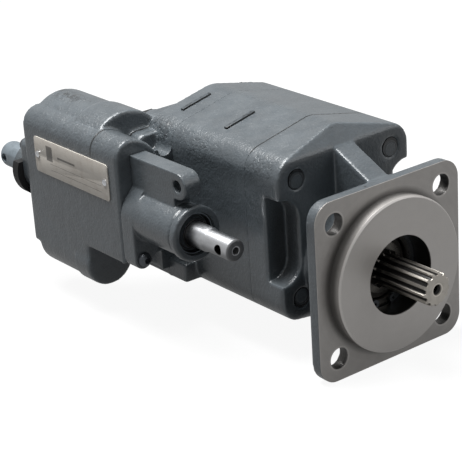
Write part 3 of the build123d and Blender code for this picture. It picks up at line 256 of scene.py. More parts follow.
class Tree:
    """Short hand for building one node tree."""

    def __init__(self, tree):
        self.tree = tree

    def add(self, kind, **settings):
        """New node; inputs holds values or links for its sockets, the rest are set as its properties."""
        node = self.tree.nodes.new(kind)
        inputs = settings.pop("inputs", {})
        for key, value in settings.items():
            setattr(node, key, value)
        for key, value in inputs.items():
            self.put(node.inputs[key], value)
        return node

    def put(self, socket, value):
        """Link a socket or set a plain value on an input; a colour may come without its alpha."""
        if isinstance(value, bpy.types.NodeSocket):
            self.tree.links.new(value, socket)
        elif socket.type == "RGBA" and len(value) == 3:
            socket.default_value = (*value, 1.0)
        else:
            socket.default_value = value

    def math(self, operation, a, b=None, clamp=False):
        node = self.add("ShaderNodeMath", operation=operation, use_clamp=clamp)
        self.put(node.inputs[0], a)
        if b is not None:
            self.put(node.inputs[1], b)
        return node.outputs[0]

    def times(self, first, *others, clamp=False):
        for other in others:
            first = self.math("MULTIPLY", first, other, clamp)
        return first

    def most(self, first, *others):
        for other in others:
            first = self.math("MAXIMUM", first, other)
        return first

    def plus(self, a, b, clamp=False):
        return self.math("ADD", a, b, clamp)

    def minus(self, a, b):
        return self.math("SUBTRACT", a, b)

    def gap(self, value, level):
        """Distance of a value from a level."""
        return self.math("ABSOLUTE", self.minus(value, level))

    def distance(self, a, b):
        """Length of the vector (a, b)."""
        return self.math("SQRT", self.plus(self.times(a, a), self.times(b, b)))

    def split(self, vector):
        """X, Y and Z of a vector."""
        return self.add("ShaderNodeSeparateXYZ", inputs={0: vector}).outputs

    def normal(self):
        return self.split(self.add("ShaderNodeNewGeometry").outputs["Normal"])

    def attribute(self, name):
        return self.add("ShaderNodeAttribute", attribute_name=name).outputs["Fac"]

    def ramp(self, value, low, high):
        """0 below low, 1 above high, smooth between; low may be above high."""
        flipped = low > high
        inputs = {"Value": value, "From Min": min(low, high), "From Max": max(low, high)}
        inputs |= {"To Min": float(flipped), "To Max": 1.0 - flipped}
        node = self.add("ShaderNodeMapRange", interpolation_type="SMOOTHSTEP", inputs=inputs)
        return node.outputs["Result"]

    def below(self, value, level, fade):
        """1 for lengths under level less fade, 0 over level, both in millimetres."""
        return self.ramp(value, level * MM, (level - fade) * MM)

    def above(self, value, level, fade):
        """0 for lengths under level, 1 over level and fade, both in millimetres."""
        return self.ramp(value, level * MM, (level + fade) * MM)

    def mix(self, factor, a, b):
        """Colour mix."""
        node = self.add("ShaderNodeMix", data_type="RGBA", inputs={"Factor": factor, 6: a, 7: b})
        return node.outputs[2]

    def layers(self, tone, *coats):
        """A tone under (mask, colour) coats, each over the ones before it."""
        for mask, coat in coats:
            tone = self.mix(mask, tone, coat)
        return tone

    def noise(self, vector, size, detail=2.0, roughness=0.5):
        """Noise with features about size millimetres across."""
        inputs = {"Vector": vector, "Scale": 1.0 / (size * MM), "Detail": detail, "Roughness": roughness}
        return self.add("ShaderNodeTexNoise", inputs=inputs).outputs["Fac"]


def shader_group(name, inputs, outputs):
    """New shader node group with a Vector input, number inputs with defaults and number outputs."""
    group = bpy.data.node_groups.new(name, "ShaderNodeTree")
    group.interface.new_socket("Vector", in_out="INPUT", socket_type="NodeSocketVector")
    for label, default in inputs.items():
        group.interface.new_socket(label, in_out="INPUT", socket_type="NodeSocketFloat").default_value = default
    for label in outputs:
        group.interface.new_socket(label, in_out="OUTPUT", socket_type="NodeSocketFloat")
    tree = Tree(group)
    return group, tree, tree.add("NodeGroupInput").outputs, tree.add("NodeGroupOutput").inputs


def cast_grain_group():
    """Sand-cast skin under enamel: a height for Bump, coarser where asked, and a slow mottle."""
    if "Cast Grain" in bpy.data.node_groups:
        return bpy.data.node_groups["Cast Grain"]
    group, t, source, sink = shader_group("Cast Grain", {"Coarse": 0.0}, ("Height", "Mottle"))
    place = source["Vector"]
    peel, grit, waves = (t.noise(place, size) for size in (1.5, 4.2, 11))
    pocks = t.ramp(t.noise(place, 2.1), 0.46, 0.3)
    height = t.plus(t.times(peel, 0.62), t.times(grit, 0.5))
    height = t.plus(height, t.times(waves, 0.9))
    lumps = t.minus(t.times(grit, 1.7), t.times(pocks, 0.95))
    t.put(sink["Height"], t.plus(height, t.times(lumps, source["Coarse"])))
    t.put(sink["Mottle"], t.noise(place, 21, 3.0, 0.6))
    return group


def edge_wear_group():
    """Chips and thin paint along edges, from the edge attribute and a break-up noise."""
    if "Edge Wear" in bpy.data.node_groups:
        return bpy.data.node_groups["Edge Wear"]
    group, t, source, sink = shader_group("Edge Wear", {"Edge": 0.0, "Amount": 0.5}, ("Thin", "Chip"))
    edge, amount = source["Edge"], source["Amount"]
    t.put(sink["Thin"], t.times(t.ramp(edge, 0.15, 0.8), amount, clamp=True))
    chip = t.plus(t.times(edge, 0.55), t.times(t.noise(source["Vector"], 2.2, 4.0, 0.65), 0.7))
    t.put(sink["Chip"], t.times(t.ramp(chip, 0.93, 1.02), amount, clamp=True))
    return group


def dust_group():
    """Thin dust that settles on upward faces."""
    if "Settled Dust" in bpy.data.node_groups:
        return bpy.data.node_groups["Settled Dust"]
    group, t, source, sink = shader_group("Settled Dust", {"Amount": 0.3}, ("Mask",))
    patchy = t.noise(source["Vector"], 8, 5.0, 0.65)
    mask = t.times(t.ramp(t.normal()["Z"], 0.1, 0.95), t.ramp(patchy, 0.3, 0.75))
    t.put(sink["Mask"], t.times(mask, source["Amount"], clamp=True))
    return group


def turning_group():
    """Fine concentric tool marks about an axis along Y through (X, Z)."""
    if "Turning Marks" in bpy.data.node_groups:
        return bpy.data.node_groups["Turning Marks"]
    axis = {"Axis X": 0.0, "Axis Z": 0.0}
    group, t, source, sink = shader_group("Turning Marks", axis, ("Radius", "Height", "Tone"))
    parts = t.split(source["Vector"])
    radius = t.distance(t.minus(parts["X"], source["Axis X"]), t.minus(parts["Z"], source["Axis Z"]))
    ring = t.add("ShaderNodeCombineXYZ", inputs={"X": radius}).outputs[0]
    t.put(sink["Radius"], radius)
    t.put(sink["Height"], t.noise(ring, 0.35, 2.0, 0.6))
    t.put(sink["Tone"], t.noise(ring, 3.2, 3.0, 0.6))
    return group


def use_group(tree, group, **inputs):
    """Outputs of a shader group placed in a material's tree."""
    values = {label.replace("_", " "): value for label, value in inputs.items()}
    return tree.add("ShaderNodeGroup", node_tree=group, inputs=values).outputs


def turning_marks(tree, place, axis=None):
    """Tool marks about the line along Y through axis, or about the Y axis."""
    about = {"Axis_X": axis.x, "Axis_Z": axis.z} if axis else {}
    return use_group(tree, turning_group(), Vector=place, **about)


def start_material(name, base, roughness, metallic=0.0):
    """New node material with a Principled shader: the material, its tree, the shader's inputs and the place."""
    material = bpy.data.materials.new(name)
    material.use_nodes = True
    material.diffuse_color = (*base, 1)
    tree = Tree(material.node_tree)
    shader = material.node_tree.nodes["Principled BSDF"].inputs
    for label, value in (("Base Color", base), ("Roughness", roughness), ("Metallic", metallic)):
        tree.put(shader[label], value)
    return material, tree, shader, tree.add("ShaderNodeTexCoord").outputs["Object"]


def dress(tree, shader, height, depth, **values):
    """Set or link the shader's inputs, and bump its normal by a height; depth in millimetres."""
    node = tree.add("ShaderNodeBump", inputs={"Height": height, "Distance": depth * MM, "Strength": 1.0})
    for label, value in {**values, "Normal": node.outputs["Normal"]}.items():
        tree.put(shader[label.replace("_", " ")], value)


def scaled(value, factor):
    return tuple(min(1.0, c * factor) for c in value)


def bare_iron(t, shader, place, tone, rough, height):
    """Lay the flange's turned face, its bore and its bolt holes over the enamel's tone, roughness and height, with
    painted shade in the bore, the bolt holes and round the pilot's foot, and painted highlights on the pilot's rim
    and the holes' rims.
    """
    tints = finishes()
    iron_tint = tints.machined
    parts = t.split(place)
    marks = turning_marks(t, place)
    radius, y = marks["Radius"], parts["Y"]
    offset = BOLT_CIRCLE * MM / 2 / 2**0.5
    hole = t.distance(*(t.minus(t.math("ABSOLUTE", parts[axis]), offset) for axis in "XZ"))
    face = t.below(y, 0.9, 0.5)
    bore = t.times(t.below(radius, FLANGE_BORE + 2.4, 1), t.below(y, COVER_BORE_END, 1))
    drilled = t.times(t.below(hole, BOLT_HOLE + 1, 0.6), t.below(y, FLANGE_THICKNESS, 1))
    bare = t.most(face, bore, drilled)
    mottle = t.ramp(t.noise(place, 9, 4.0, 0.6), 0.35, 0.7)
    foot_of_pilot = t.times(t.below(radius, PILOT_RADIUS + 5.2, 5), t.above(y, PILOT_FACE + 1.9, 4.6))
    pilot_edge = t.times(t.above(radius, PILOT_RADIUS - 1.4, 0.6), t.below(y, PILOT_FACE + 1.9, 1))
    hole_rim = t.times(t.below(hole, BOLT_HOLE + 1.4, 0.7), t.above(hole, BOLT_HOLE, 0.3))
    hole_wall = t.times(t.below(hole, BOLT_HOLE + 0.4, 0.3), t.above(y, 0.1, 0.8))
    streaks = t.noise(t.add("ShaderNodeCombineXYZ", inputs={"X": y}).outputs[0], 0.9, 2.0, 0.6)
    pilot_face = t.times(t.below(radius, PILOT_RADIUS - 0.2, 0.4), t.below(y, PILOT_FACE + 0.7, 0.4))
    bore_shade_and_oil = t.times(t.below(radius, FLANGE_BORE, 1), t.above(y, PILOT_FACE + 0.3, 1))
    iron = t.layers(
        t.mix(marks["Tone"], scaled(iron_tint, 0.9), scaled(iron_tint, 1.1)),
        (t.times(mottle, 0.25), scaled(iron_tint, 0.7)),
        # Painted shade round the pilot's foot
        (t.times(foot_of_pilot, 0.55), tints.grime_and_shade),
        # Painted highlight, with some wear, along the pilot's rim
        (t.times(pilot_edge, 0.6), scaled(iron_tint, 1.9)),
        # Painted highlight on the bolt holes' rims
        (t.times(hole_rim, 0.4), scaled(iron_tint, 1.5)),
        # Painted shade on the bolt holes' walls, with streaks
        (hole_wall, t.mix(streaks, tints.grime_and_shade, scaled(iron_tint, 0.42))),
        (t.times(pilot_face, 0.6), scaled(iron_tint, 1.42)),
        # Painted shade, with oil, darkens the bore
        (bore_shade_and_oil, scaled(tints.grime_and_shade, 0.7)),
    )
    from_pin = t.add("ShaderNodeVectorMath", operation="DISTANCE", inputs={0: place, 1: PIN_MARK}).outputs["Value"]
    tone = t.layers(tone, (bare, iron), (t.below(from_pin, 1.0, 0.3), scaled(tints.grime_and_shade, 0.5)))
    painted = t.minus(1.0, bare)
    t.put(shader["Metallic"], t.times(bare, t.minus(tints.iron_metallic, t.times(bore_shade_and_oil, tints.iron_metallic))))
    t.put(shader["Coat Weight"], t.times(painted, tints.coat))
    rough = t.plus(t.times(rough, painted), t.times(bare, tints.iron_roughness))
    return tone, rough, t.plus(t.times(height, painted), t.times(bare, marks["Height"], 0.12))


def paint_material(name="pump_enamel", machined=False):
    """Blue-grey enamel over sand-cast iron; with machined, the flange's face and bore are bare iron."""
    if name in bpy.data.materials:
        return bpy.data.materials[name]
    tints = finishes()
    material, t, shader, place = start_material(name, tints.paint, tints.paint_roughness)
    edge, coarse, dark_patch = (t.attribute(label) for label in ("edge", "coarse", "dark_patch"))
    grain = use_group(t, cast_grain_group(), Vector=place, Coarse=coarse)
    wear = use_group(t, edge_wear_group(), Vector=place, Edge=edge, Amount=0.5)
    dust = use_group(t, dust_group(), Vector=place, Amount=0.12)
    hollow = t.times(t.ramp(grain["Height"], 0.55, 0.1), t.plus(0.15, t.times(coarse, 0.5)), clamp=True)
    pits = t.ramp(t.noise(place, 3.6), 0.46, 0.54)
    parts = t.split(place)
    joints_and_shadow = [
        t.times(t.ramp(t.gap(parts["Y"], level), width * MM, 0.4 * width * MM), t.above(parts["Z"], lowest, 4))
        for level, width, lowest in JOINT_AND_SHADOW_LINES
    ]
    tone = t.layers(
        t.mix(t.ramp(grain["Mottle"], 0.3, 0.7), scaled(tints.paint, 0.9), scaled(tints.paint, 1.08)),
        # Painted shade in the cast skin's low spots
        (hollow, scaled(tints.paint, 0.45)),
        (t.times(coarse, pits, 0.75), scaled(tints.paint, 0.25)),
        # Painted shade darkens the enamel in the pockets and low on the body here
        (t.times(dark_patch, 0.85), scaled(tints.paint, 0.1)),
        (wear["Thin"], scaled(tints.paint, 1.7)),
        (dust["Mask"], tints.dust),
        (wear["Chip"], tints.chip),
        # The joint line, and the painted shadow line behind the end cover's rear edge
        (t.most(*joints_and_shadow), scaled(tints.paint, 0.12)),
    )
    rough = t.plus(tints.paint_roughness, t.times(t.minus(grain["Mottle"], 0.5), 0.2))
    rough = t.plus(rough, t.times(dust["Mask"], 0.4), clamp=True)
    height = grain["Height"]
    shader["Coat Weight"].default_value = tints.coat
    if machined:
        tone, rough, height = bare_iron(t, shader, place, tone, rough, height)
    gloss = tints.coat_roughness
    dress(t, shader, height, tints.skin_depth / MM, Base_Color=tone, Roughness=rough, Coat_Roughness=gloss)
    return material


def metal_material(name, tint, roughness, axis=None, grime_and_shade=0.0, metallic=1.0):
    """Bare metal with tool marks about an axis along Y, smudges and grime."""
    if name in bpy.data.materials:
        return bpy.data.materials[name]
    material, t, shader, place = start_material(name, tint, roughness, metallic)
    marks = turning_marks(t, place, axis)
    smudge = t.noise(place, 6, 4.0, 0.6)
    tone = t.mix(marks["Tone"], scaled(tint, 0.82), scaled(tint, 1.08))
    dirty = t.times(t.ramp(smudge, 0.45, 0.75), grime_and_shade)
    rough = t.plus(roughness, t.times(t.minus(smudge, 0.5), 0.25), clamp=True)
    tone = t.mix(dirty, tone, finishes().grime_and_shade)
    dress(t, shader, t.times(marks["Height"], 0.5), 0.03, Base_Color=tone, Roughness=rough)
    return material


def rubber_material():
    """Matt black rubber with a fine moulded grain."""
    if "wiper_rubber" in bpy.data.materials:
        return bpy.data.materials["wiper_rubber"]
    tint = finishes().rubber
    material, t, shader, place = start_material("wiper_rubber", tint, 0.6)
    grain = t.noise(place, 0.6)
    bloom = t.ramp(t.noise(place, 5, 4.0, 0.6), 0.4, 0.8)
    tone = t.mix(t.times(bloom, 0.5), tint, scaled(tint, 2.6))
    dress(t, shader, grain, 0.04, Base_Color=tone, Roughness=t.plus(0.48, t.times(grain, 0.2)))
    return material


# ---- Mesh tools


def new_piece(name, mesh, body, material, replaces=()):
    """Object at the origin that rides on a body and may stand for CAD nodes."""
    mesh.name = name
    piece = bpy.data.objects.new(name, mesh)
    bpy.context.scene.collection.objects.link(piece)
    mesh.materials.clear()
    mesh.materials.append(material)
    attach(piece, body)
    if replaces:
        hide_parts(*replaces)
    return piece


def give(node, material):
    """Finish a CAD node that stays as it is."""
    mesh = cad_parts[node].data
    mesh.materials.clear()
    mesh.materials.append(material)


def merged_copy(node):
    """Closed copy of a CAD node's mesh with its doubled corners joined."""
    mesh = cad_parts[node].data.copy()
    work = bmesh.new()
    work.from_mesh(mesh)
    bmesh.ops.remove_doubles(work, verts=work.verts, dist=2e-6)
    work.to_mesh(mesh)
    work.free()
    mesh.materials.clear()
    return mesh


def through_modifiers(mesh, *steps):
    """Mesh after a list of (type, settings) modifiers; settings named after no property are tree inputs."""
    holder = bpy.data.objects.new("holder", mesh)
    bpy.context.scene.collection.objects.link(holder)
    for kind, settings in steps:
        modifier = holder.modifiers.new(kind, kind)
        for key, value in settings.items():
            if hasattr(modifier, key):
                setattr(modifier, key, value)
            else:
                modifier[key] = value
    bpy.context.view_layer.update()
    result = bpy.data.meshes.new_from_object(holder.evaluated_get(bpy.context.evaluated_depsgraph_get()))
    bpy.data.objects.remove(holder)
    bpy.data.meshes.remove(mesh)
    return result


def corners(mesh):
    places = np.zeros(len(mesh.vertices) * 3)
    mesh.vertices.foreach_get("co", places)
    return places.reshape(-1, 3)


def store(mesh, name, values):
    attribute = mesh.attributes.get(name) or mesh.attributes.new(name, "FLOAT", "POINT")
    attribute.data.foreach_set("value", np.asarray(values, np.float32))


def soften(mesh, steps, weight):
    """Smooth a mesh by a weight per corner, and keep how far each corner went as the edge attribute."""
    count = len(mesh.vertices)
    places = corners(mesh)
    start = places.copy()
    ends = np.zeros(len(mesh.edges) * 2, int)
    mesh.edges.foreach_get("vertices", ends)
    first, second = ends.reshape(-1, 2).T
    neighbours = np.maximum(np.bincount(ends, minlength=count), 1)[:, None]
    for _ in range(steps):
        sums = [
            np.bincount(first, places[second, k], count) + np.bincount(second, places[first, k], count)
            for k in range(3)
        ]
        places = places + (np.stack(sums, axis=1) / neighbours - places) * SMOOTHING_PULL * weight[:, None]
    mesh.vertices.foreach_set("co", places.ravel())
    mesh.update()
    store(mesh, "edge", np.clip(np.linalg.norm(places - start, axis=1) / FULL_EDGE, 0, 1))


def smooth_shade(mesh, angle):
    """Smooth faces, with the edges sharper than the angle kept sharp."""
    mesh.polygons.foreach_set("use_smooth", np.ones(len(mesh.polygons), bool))
    mesh.set_sharp_from_angle(angle=radians(angle))
    return mesh


def casting(node, keep, material, detail=None, steps=None):
    """Cast piece: the CAD shape with its cast edges rounded and its machined edges left crisp.

    keep takes corner places in millimetres and gives 1 where a corner may be smoothed, 0 where not.
    """
    sizes = shapes()
    remesh = {"mode": "SHARP", "octree_depth": detail or sizes.casting_detail, "scale": 0.99, "sharpness": 1.0}
    mesh = through_modifiers(merged_copy(node), ("REMESH", {**remesh, "use_remove_disconnected": False}))
    soften(mesh, steps or sizes.casting_softness, keep(corners(mesh) / MM))
    smooth_shade(mesh, CASTING_SHARP)
    place = corners(mesh) / MM
    # The coarse skin and the patches of painted shade are stored on each corner as attributes
    for attribute, zones in (("coarse", COARSE_SKIN), ("dark_patch", SHADE_PATCHES)):
        values = np.zeros(len(place))
        for centre, half, strength in zones.get(node, ()):
            reach = np.linalg.norm((place - centre) / half, axis=1)
            values = np.maximum(values, np.interp(reach, ZONE_FADE, (strength, 0)))
        store(mesh, attribute, values)
    mesh.vertices.foreach_set("co", np.clip(corners(mesh), *CAD_BOX).ravel())
    mesh.update()
    return new_piece(node + "_casting", mesh, "housing", material, (node,))


def off_seams(y, *levels):
    """1 away from machined levels along Y, falling to a little beside each, in millimetres."""
    gaps = [np.clip((np.abs(y - level) - SEAM_REACH) / SEAM_REACH, 0, 1) for level in levels]
    return np.maximum(np.minimum.reduce(gaps), SEAM_SOFTNESS)


def refined(node, width, segments=2):
    """CAD shape with small bevels on its edges."""
    bevel = {"width": width, "segments": segments, "limit_method": "ANGLE", "angle_limit": radians(32)}
    mesh = through_modifiers(
        merged_copy(node),
        ("DECIMATE", {"decimate_type": "DISSOLVE", "angle_limit": radians(0.6)}),
        ("BEVEL", {**bevel, "use_clamp_overlap": True, "harden_normals": False}),
    )
    return smooth_shade(mesh, 30)


def skinned(name, loops):
    """Closed mesh through loops of points; a loop of one point is a pole, and a wide end loop is capped."""
    work = bmesh.new()
    rings = [[work.verts.new(point) for point in loop] for loop in loops]
    count = max(len(ring) for ring in rings)
    for a, b in zip(rings, rings[1:]):
        for k in range(count):
            n = (k + 1) % count
            around = (a[k % len(a)], a[n % len(a)], b[n % len(b)], b[k % len(b)])
            work.faces.new(list(dict.fromkeys(around)))
    for ring in (rings[0], rings[-1]):
        if len(ring) > 1:
            work.faces.new(ring)
    bmesh.ops.recalc_face_normals(work, faces=work.faces)
    mesh = bpy.data.meshes.new(name)
    work.to_mesh(mesh)
    work.free()
    return mesh


def circle(radius, y, sides):
    """Points round the Y axis, or the one point on it."""
    count = sides if radius else 1
    return [(radius * cos(2 * pi * k / sides), y, radius * sin(2 * pi * k / sides)) for k in range(count)]


def placing_tree():
    """Geometry node tree that sets one pattern on every point, facing its facing attribute, turned at random.

    Size is a share of the pattern's own size, and Random turn the widest turn about its axis, in radians.
    """
    if "Place Like Pieces" in bpy.data.node_groups:
        return bpy.data.node_groups["Place Like Pieces"]
    tree = bpy.data.node_groups.new("Place Like Pieces", "GeometryNodeTree")
    kinds = {"Geometry": "Geometry", "Pattern": "Object", "Size": "Float", "Random turn": "Float"}
    for label, kind in {**kinds, "Seed": "Int", "Finish": "Material"}.items():
        tree.interface.new_socket(label, in_out="INPUT", socket_type="NodeSocket" + kind)
    tree.interface.new_socket("Geometry", in_out="OUTPUT", socket_type="NodeSocketGeometry")
    t = Tree(tree)
    source = t.add("NodeGroupInput").outputs
    pattern = t.add("GeometryNodeObjectInfo", inputs={"Object": source["Pattern"], "As Instance": True})
    facing = t.add("GeometryNodeInputNamedAttribute", data_type="FLOAT_VECTOR", inputs={"Name": "facing"})
    align = t.add("FunctionNodeAlignRotationToVector", axis="Y", inputs={"Vector": facing.outputs["Attribute"]})
    turn = t.add("FunctionNodeRandomValue", data_type="FLOAT")
    for key, value in ((2, 0.0), (3, source["Random turn"]), ("Seed", source["Seed"])):
        t.put(turn.inputs[key], value)
    about = t.add("ShaderNodeCombineXYZ", inputs={"Y": turn.outputs[1]})
    spin = t.add("FunctionNodeEulerToRotation", inputs={0: about.outputs[0]})
    turns = {0: align.outputs[0], 1: spin.outputs[0]}
    both = t.add("FunctionNodeRotateRotation", rotation_space="LOCAL", inputs=turns)
    where = {"Points": source["Geometry"], "Rotation": both.outputs[0], "Scale": source["Size"]}
    where["Instance"] = pattern.outputs["Geometry"]
    place = t.add("GeometryNodeInstanceOnPoints", inputs=where)
    real = t.add("GeometryNodeRealizeInstances", inputs={"Geometry": place.outputs[0]})
    finish = t.add("GeometryNodeSetMaterial", inputs={"Geometry": real.outputs[0], "Material": source["Finish"]})
    t.put(t.add("NodeGroupOutput").inputs["Geometry"], finish.outputs[0])
    return tree


def set_of(pattern_mesh, points, facing, finish, size=1.0, random_turn=0.0, seed=7):
    """Plain mesh of one pattern set on many points, all facing one way."""
    pattern = bpy.data.objects.new("pattern", pattern_mesh)
    bpy.context.scene.collection.objects.link(pattern)
    points_mesh = bpy.data.meshes.new("points")
    points_mesh.from_pydata([tuple(point) for point in points], [], [])
    attribute = points_mesh.attributes.new("facing", "FLOAT_VECTOR", "POINT")
    attribute.data.foreach_set("vector", np.array([facing] * len(points), np.float32).ravel())
    tree = placing_tree()
    values = {"Pattern": pattern, "Size": size, "Random turn": random_turn, "Seed": seed, "Finish": finish}
    settings = {"node_group": tree}
    for socket in tree.interface.items_tree:
        if socket.in_out == "INPUT" and socket.name in values:
            settings[socket.identifier] = values[socket.name]
    mesh = through_modifiers(points_mesh, ("NODES", settings))
    bpy.data.objects.remove(pattern)
    bpy.data.meshes.remove(pattern_mesh)
    return smooth_shade(mesh, 32)


def centre_of(node):
    low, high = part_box(node)
    return (low + high) / 2


def shell_boxes(node):
    """Box of each separate solid in a CAD node, in order of its first corner."""
    mesh = merged_copy(node)
    work = bmesh.new()
    work.from_mesh(mesh)
    loose, boxes = dict.fromkeys(work.verts), []
    while loose:
        group = [next(iter(loose))]
        del loose[group[0]]
        for vert in group:
            for edge in vert.link_edges:
                other = edge.other_vert(vert)
                if other in loose:
                    del loose[other]
                    group.append(other)
        boxes.append(tuple(Vector([end(vert.co[k] for vert in group) for k in range(3)]) for end in (min, max)))
    work.free()
    bpy.data.meshes.remove(mesh)
    return boxes


def button_screw_pattern(head, rise, socket, shank):
    """Round-head socket screw along +Y: the head's seat is at the origin, the head rises along +Y."""
    radius = head / 2
    stem = radius * 0.34
    outline = [(stem, -shank), (stem, 0), (radius, 0), (radius, rise * 0.22)]
    outline += [(radius * cos(a), rise * (0.22 + 0.78 * sin(a))) for a in (radians(d) for d in (22, 42, 58))]
    loops = [circle(r, y, SCREW_SIDES) for r, y in outline]
    corner = socket / 2 / cos(radians(30))
    turns = [2 * pi * k / SCREW_SIDES for k in range(SCREW_SIDES)]
    rim = [(min(socket / 2 / cos(a % radians(60) - radians(30)), corner), a) for a in turns]
    for share_of_rim, height in ((1.0, 0.98), (0.93, 0.3)):
        loops.append([(r * share_of_rim * cos(a), rise * height, r * share_of_rim * sin(a)) for r, a in rim])
    return skinned("button_screw", loops)


# ---- Pieces


class PUMP_OT_castings(bpy.types.Operator):
    """Make the mounting cover, gear housing and valve body castings"""

    bl_idname = "pump.castings"
    bl_label = "Castings"

    def execute(self, context):
        seam_front, seam_rear = (corner.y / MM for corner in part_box("gear_housing"))
        block_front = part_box("front_bonnet")[1].y / MM

        def keep_cover(place):
            x, y, z = place.T
            machined = (y < MACHINED_EDGE) | ((np.hypot(x, z) < COVER_BORE) & (y < COVER_BORE_DEPTH))
            return np.where(machined, 0.0, off_seams(y, seam_front))

        def keep_housing(place):
            return off_seams(place[:, 1], seam_front, seam_rear)

        def keep_valve(place):
            x, y, z = place.T
            from_spool = np.hypot(x - SPOOL_AXIS[0], z - SPOOL_AXIS[1])
            in_bore = (from_spool < SPOOL_BORE) & (y < block_front + SPOOL_BORE_DEPTH)
            from_outlet = np.hypot(x - OUTLET_AXIS[0], z - OUTLET_AXIS[1])
            collar = (np.abs(y - OUTLET_COLLAR) < COLLAR_REACH) & (from_outlet > OUTLET_RADIUS)
            return np.where(collar, COLLAR_SOFTNESS, np.where(in_bore, 0.0, off_seams(y, seam_rear)))

        casting("mounting_cover", keep_cover, paint_material("cover_enamel", machined=True))
        casting("gear_housing", keep_housing, paint_material())
        casting("valve_body", keep_valve, paint_material())
        return {"FINISHED"}


class PUMP_OT_bonnets(bpy.types.Operator):
    """Make the front bonnet with its lug and the rear bonnet"""

    bl_idname = "pump.bonnets"
    bl_label = "Bonnets"

    def execute(self, context):
        sizes = shapes()
        bore = centre_of("spool") / MM

        def outside_bore(place):
            radius = np.hypot(place[:, 0] - bore.x, place[:, 2] - bore.z)
            return np.clip(radius - SPOOL_CHAMBER, 0, 1)

        casting("front_bonnet", outside_bore, paint_material(), steps=sizes.bonnet_softness)
        detail, steps = sizes.small_casting_detail, sizes.small_casting_softness
        casting("rear_bonnet", outside_bore, paint_material(), detail=detail, steps=steps)
        return {"FINISHED"}


class PUMP_OT_roof_bars(bpy.types.Operator):
    """Make the two raised bars cast on the roof"""

    bl_idname = "pump.roof_bars"
    bl_label = "Roof bars"

    def bar_finish(self):
        """Enamel with a painted highlight on the bar's upward top and painted shade down its sides."""
        tint = finishes().paint
        enamel, t, shader, place = start_material("bar_enamel", tint, 0.4)
        broken = t.noise(place, 3, 3.0, 0.6)
        # Upward faces keep a lighter tone as painted light; the sides go dark as painted shade
        crest = t.times(t.ramp(t.normal()["Z"], 0.8, 0.95), t.ramp(broken, 0.25, 0.6))
        dress(t, shader, broken, 0.2, Base_Color=t.mix(crest, scaled(tint, 0.12), scaled(tint, 0.8)))
        return enamel

    def execute(self, context):
        sizes = shapes()
        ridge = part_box("gear_housing")[1].z
        lean = Matrix.Rotation(-ROOF_ANGLE, 4, "Y")
        work = bmesh.new()
        for along, y in ROOF_BARS:
            place = Vector((along * MM * cos(ROOF_ANGLE), y * MM, ridge + along * MM * sin(ROOF_ANGLE)))
            cube = bmesh.ops.create_cube(work, size=1.0)["verts"]
            bmesh.ops.scale(work, verts=cube, vec=(sizes.bar_length, sizes.bar_width, 2 * sizes.bar_height))
            bmesh.ops.transform(work, verts=cube, matrix=Matrix.Translation(place) @ lean)
        bmesh.ops.bevel(work, geom=work.edges[:], offset=sizes.bar_bevel, segments=2, affect="EDGES", profile=0.6)
        mesh = bpy.data.meshes.new("bars")
        work.to_mesh(mesh)
        work.free()
        new_piece("roof_bars_cast", smooth_shade(mesh, 40), "housing", self.bar_finish())
        return {"FINISHED"}


class PUMP_OT_tie_bolts(bpy.types.Operator):
    """Finish the four tie bolts and their washers"""

    bl_idname = "pump.tie_bolts"
    bl_label = "Tie bolts"

    def execute(self, context):
        tint = finishes().paint
        enamel, t, shader, place = start_material("bolt_enamel", tint, 0.34)
        parts = t.split(place)
        low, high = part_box("tie_bolts")
        centre, head = (low + high) / 2, high.x - TIE_BOLT_X * MM
        offsets = [
            t.minus(t.gap(parts[axis], centre[k]), (high[k] - low[k]) / 2 - head) for axis, k in (("X", 0), ("Z", 2))
        ]
        radius = t.distance(*offsets)
        ring = t.times(t.above(radius, 4.3, 0.5), t.below(radius, 6.6, 0.5))
        grain = t.noise(place, 1.6, 3.0, 0.5)
        # The dark ring and the near black beyond it are painted shade in the gap round each bolt end
        tone = t.layers(
            t.mix(grain, scaled(tint, 0.75), scaled(tint, 1.05)),
            (t.times(ring, 0.7), scaled(tint, 0.3)),
            (t.above(radius, 6.0, 0.3), scaled(tint, 0.08)),
        )
        dress(t, shader, t.minus(grain, t.times(ring, 1.5)), 0.4, Base_Color=tone, Coat_Weight=0.5)
        give("tie_bolts", enamel)
        give("tie_bolt_washers", paint_material())
        return {"FINISHED"}


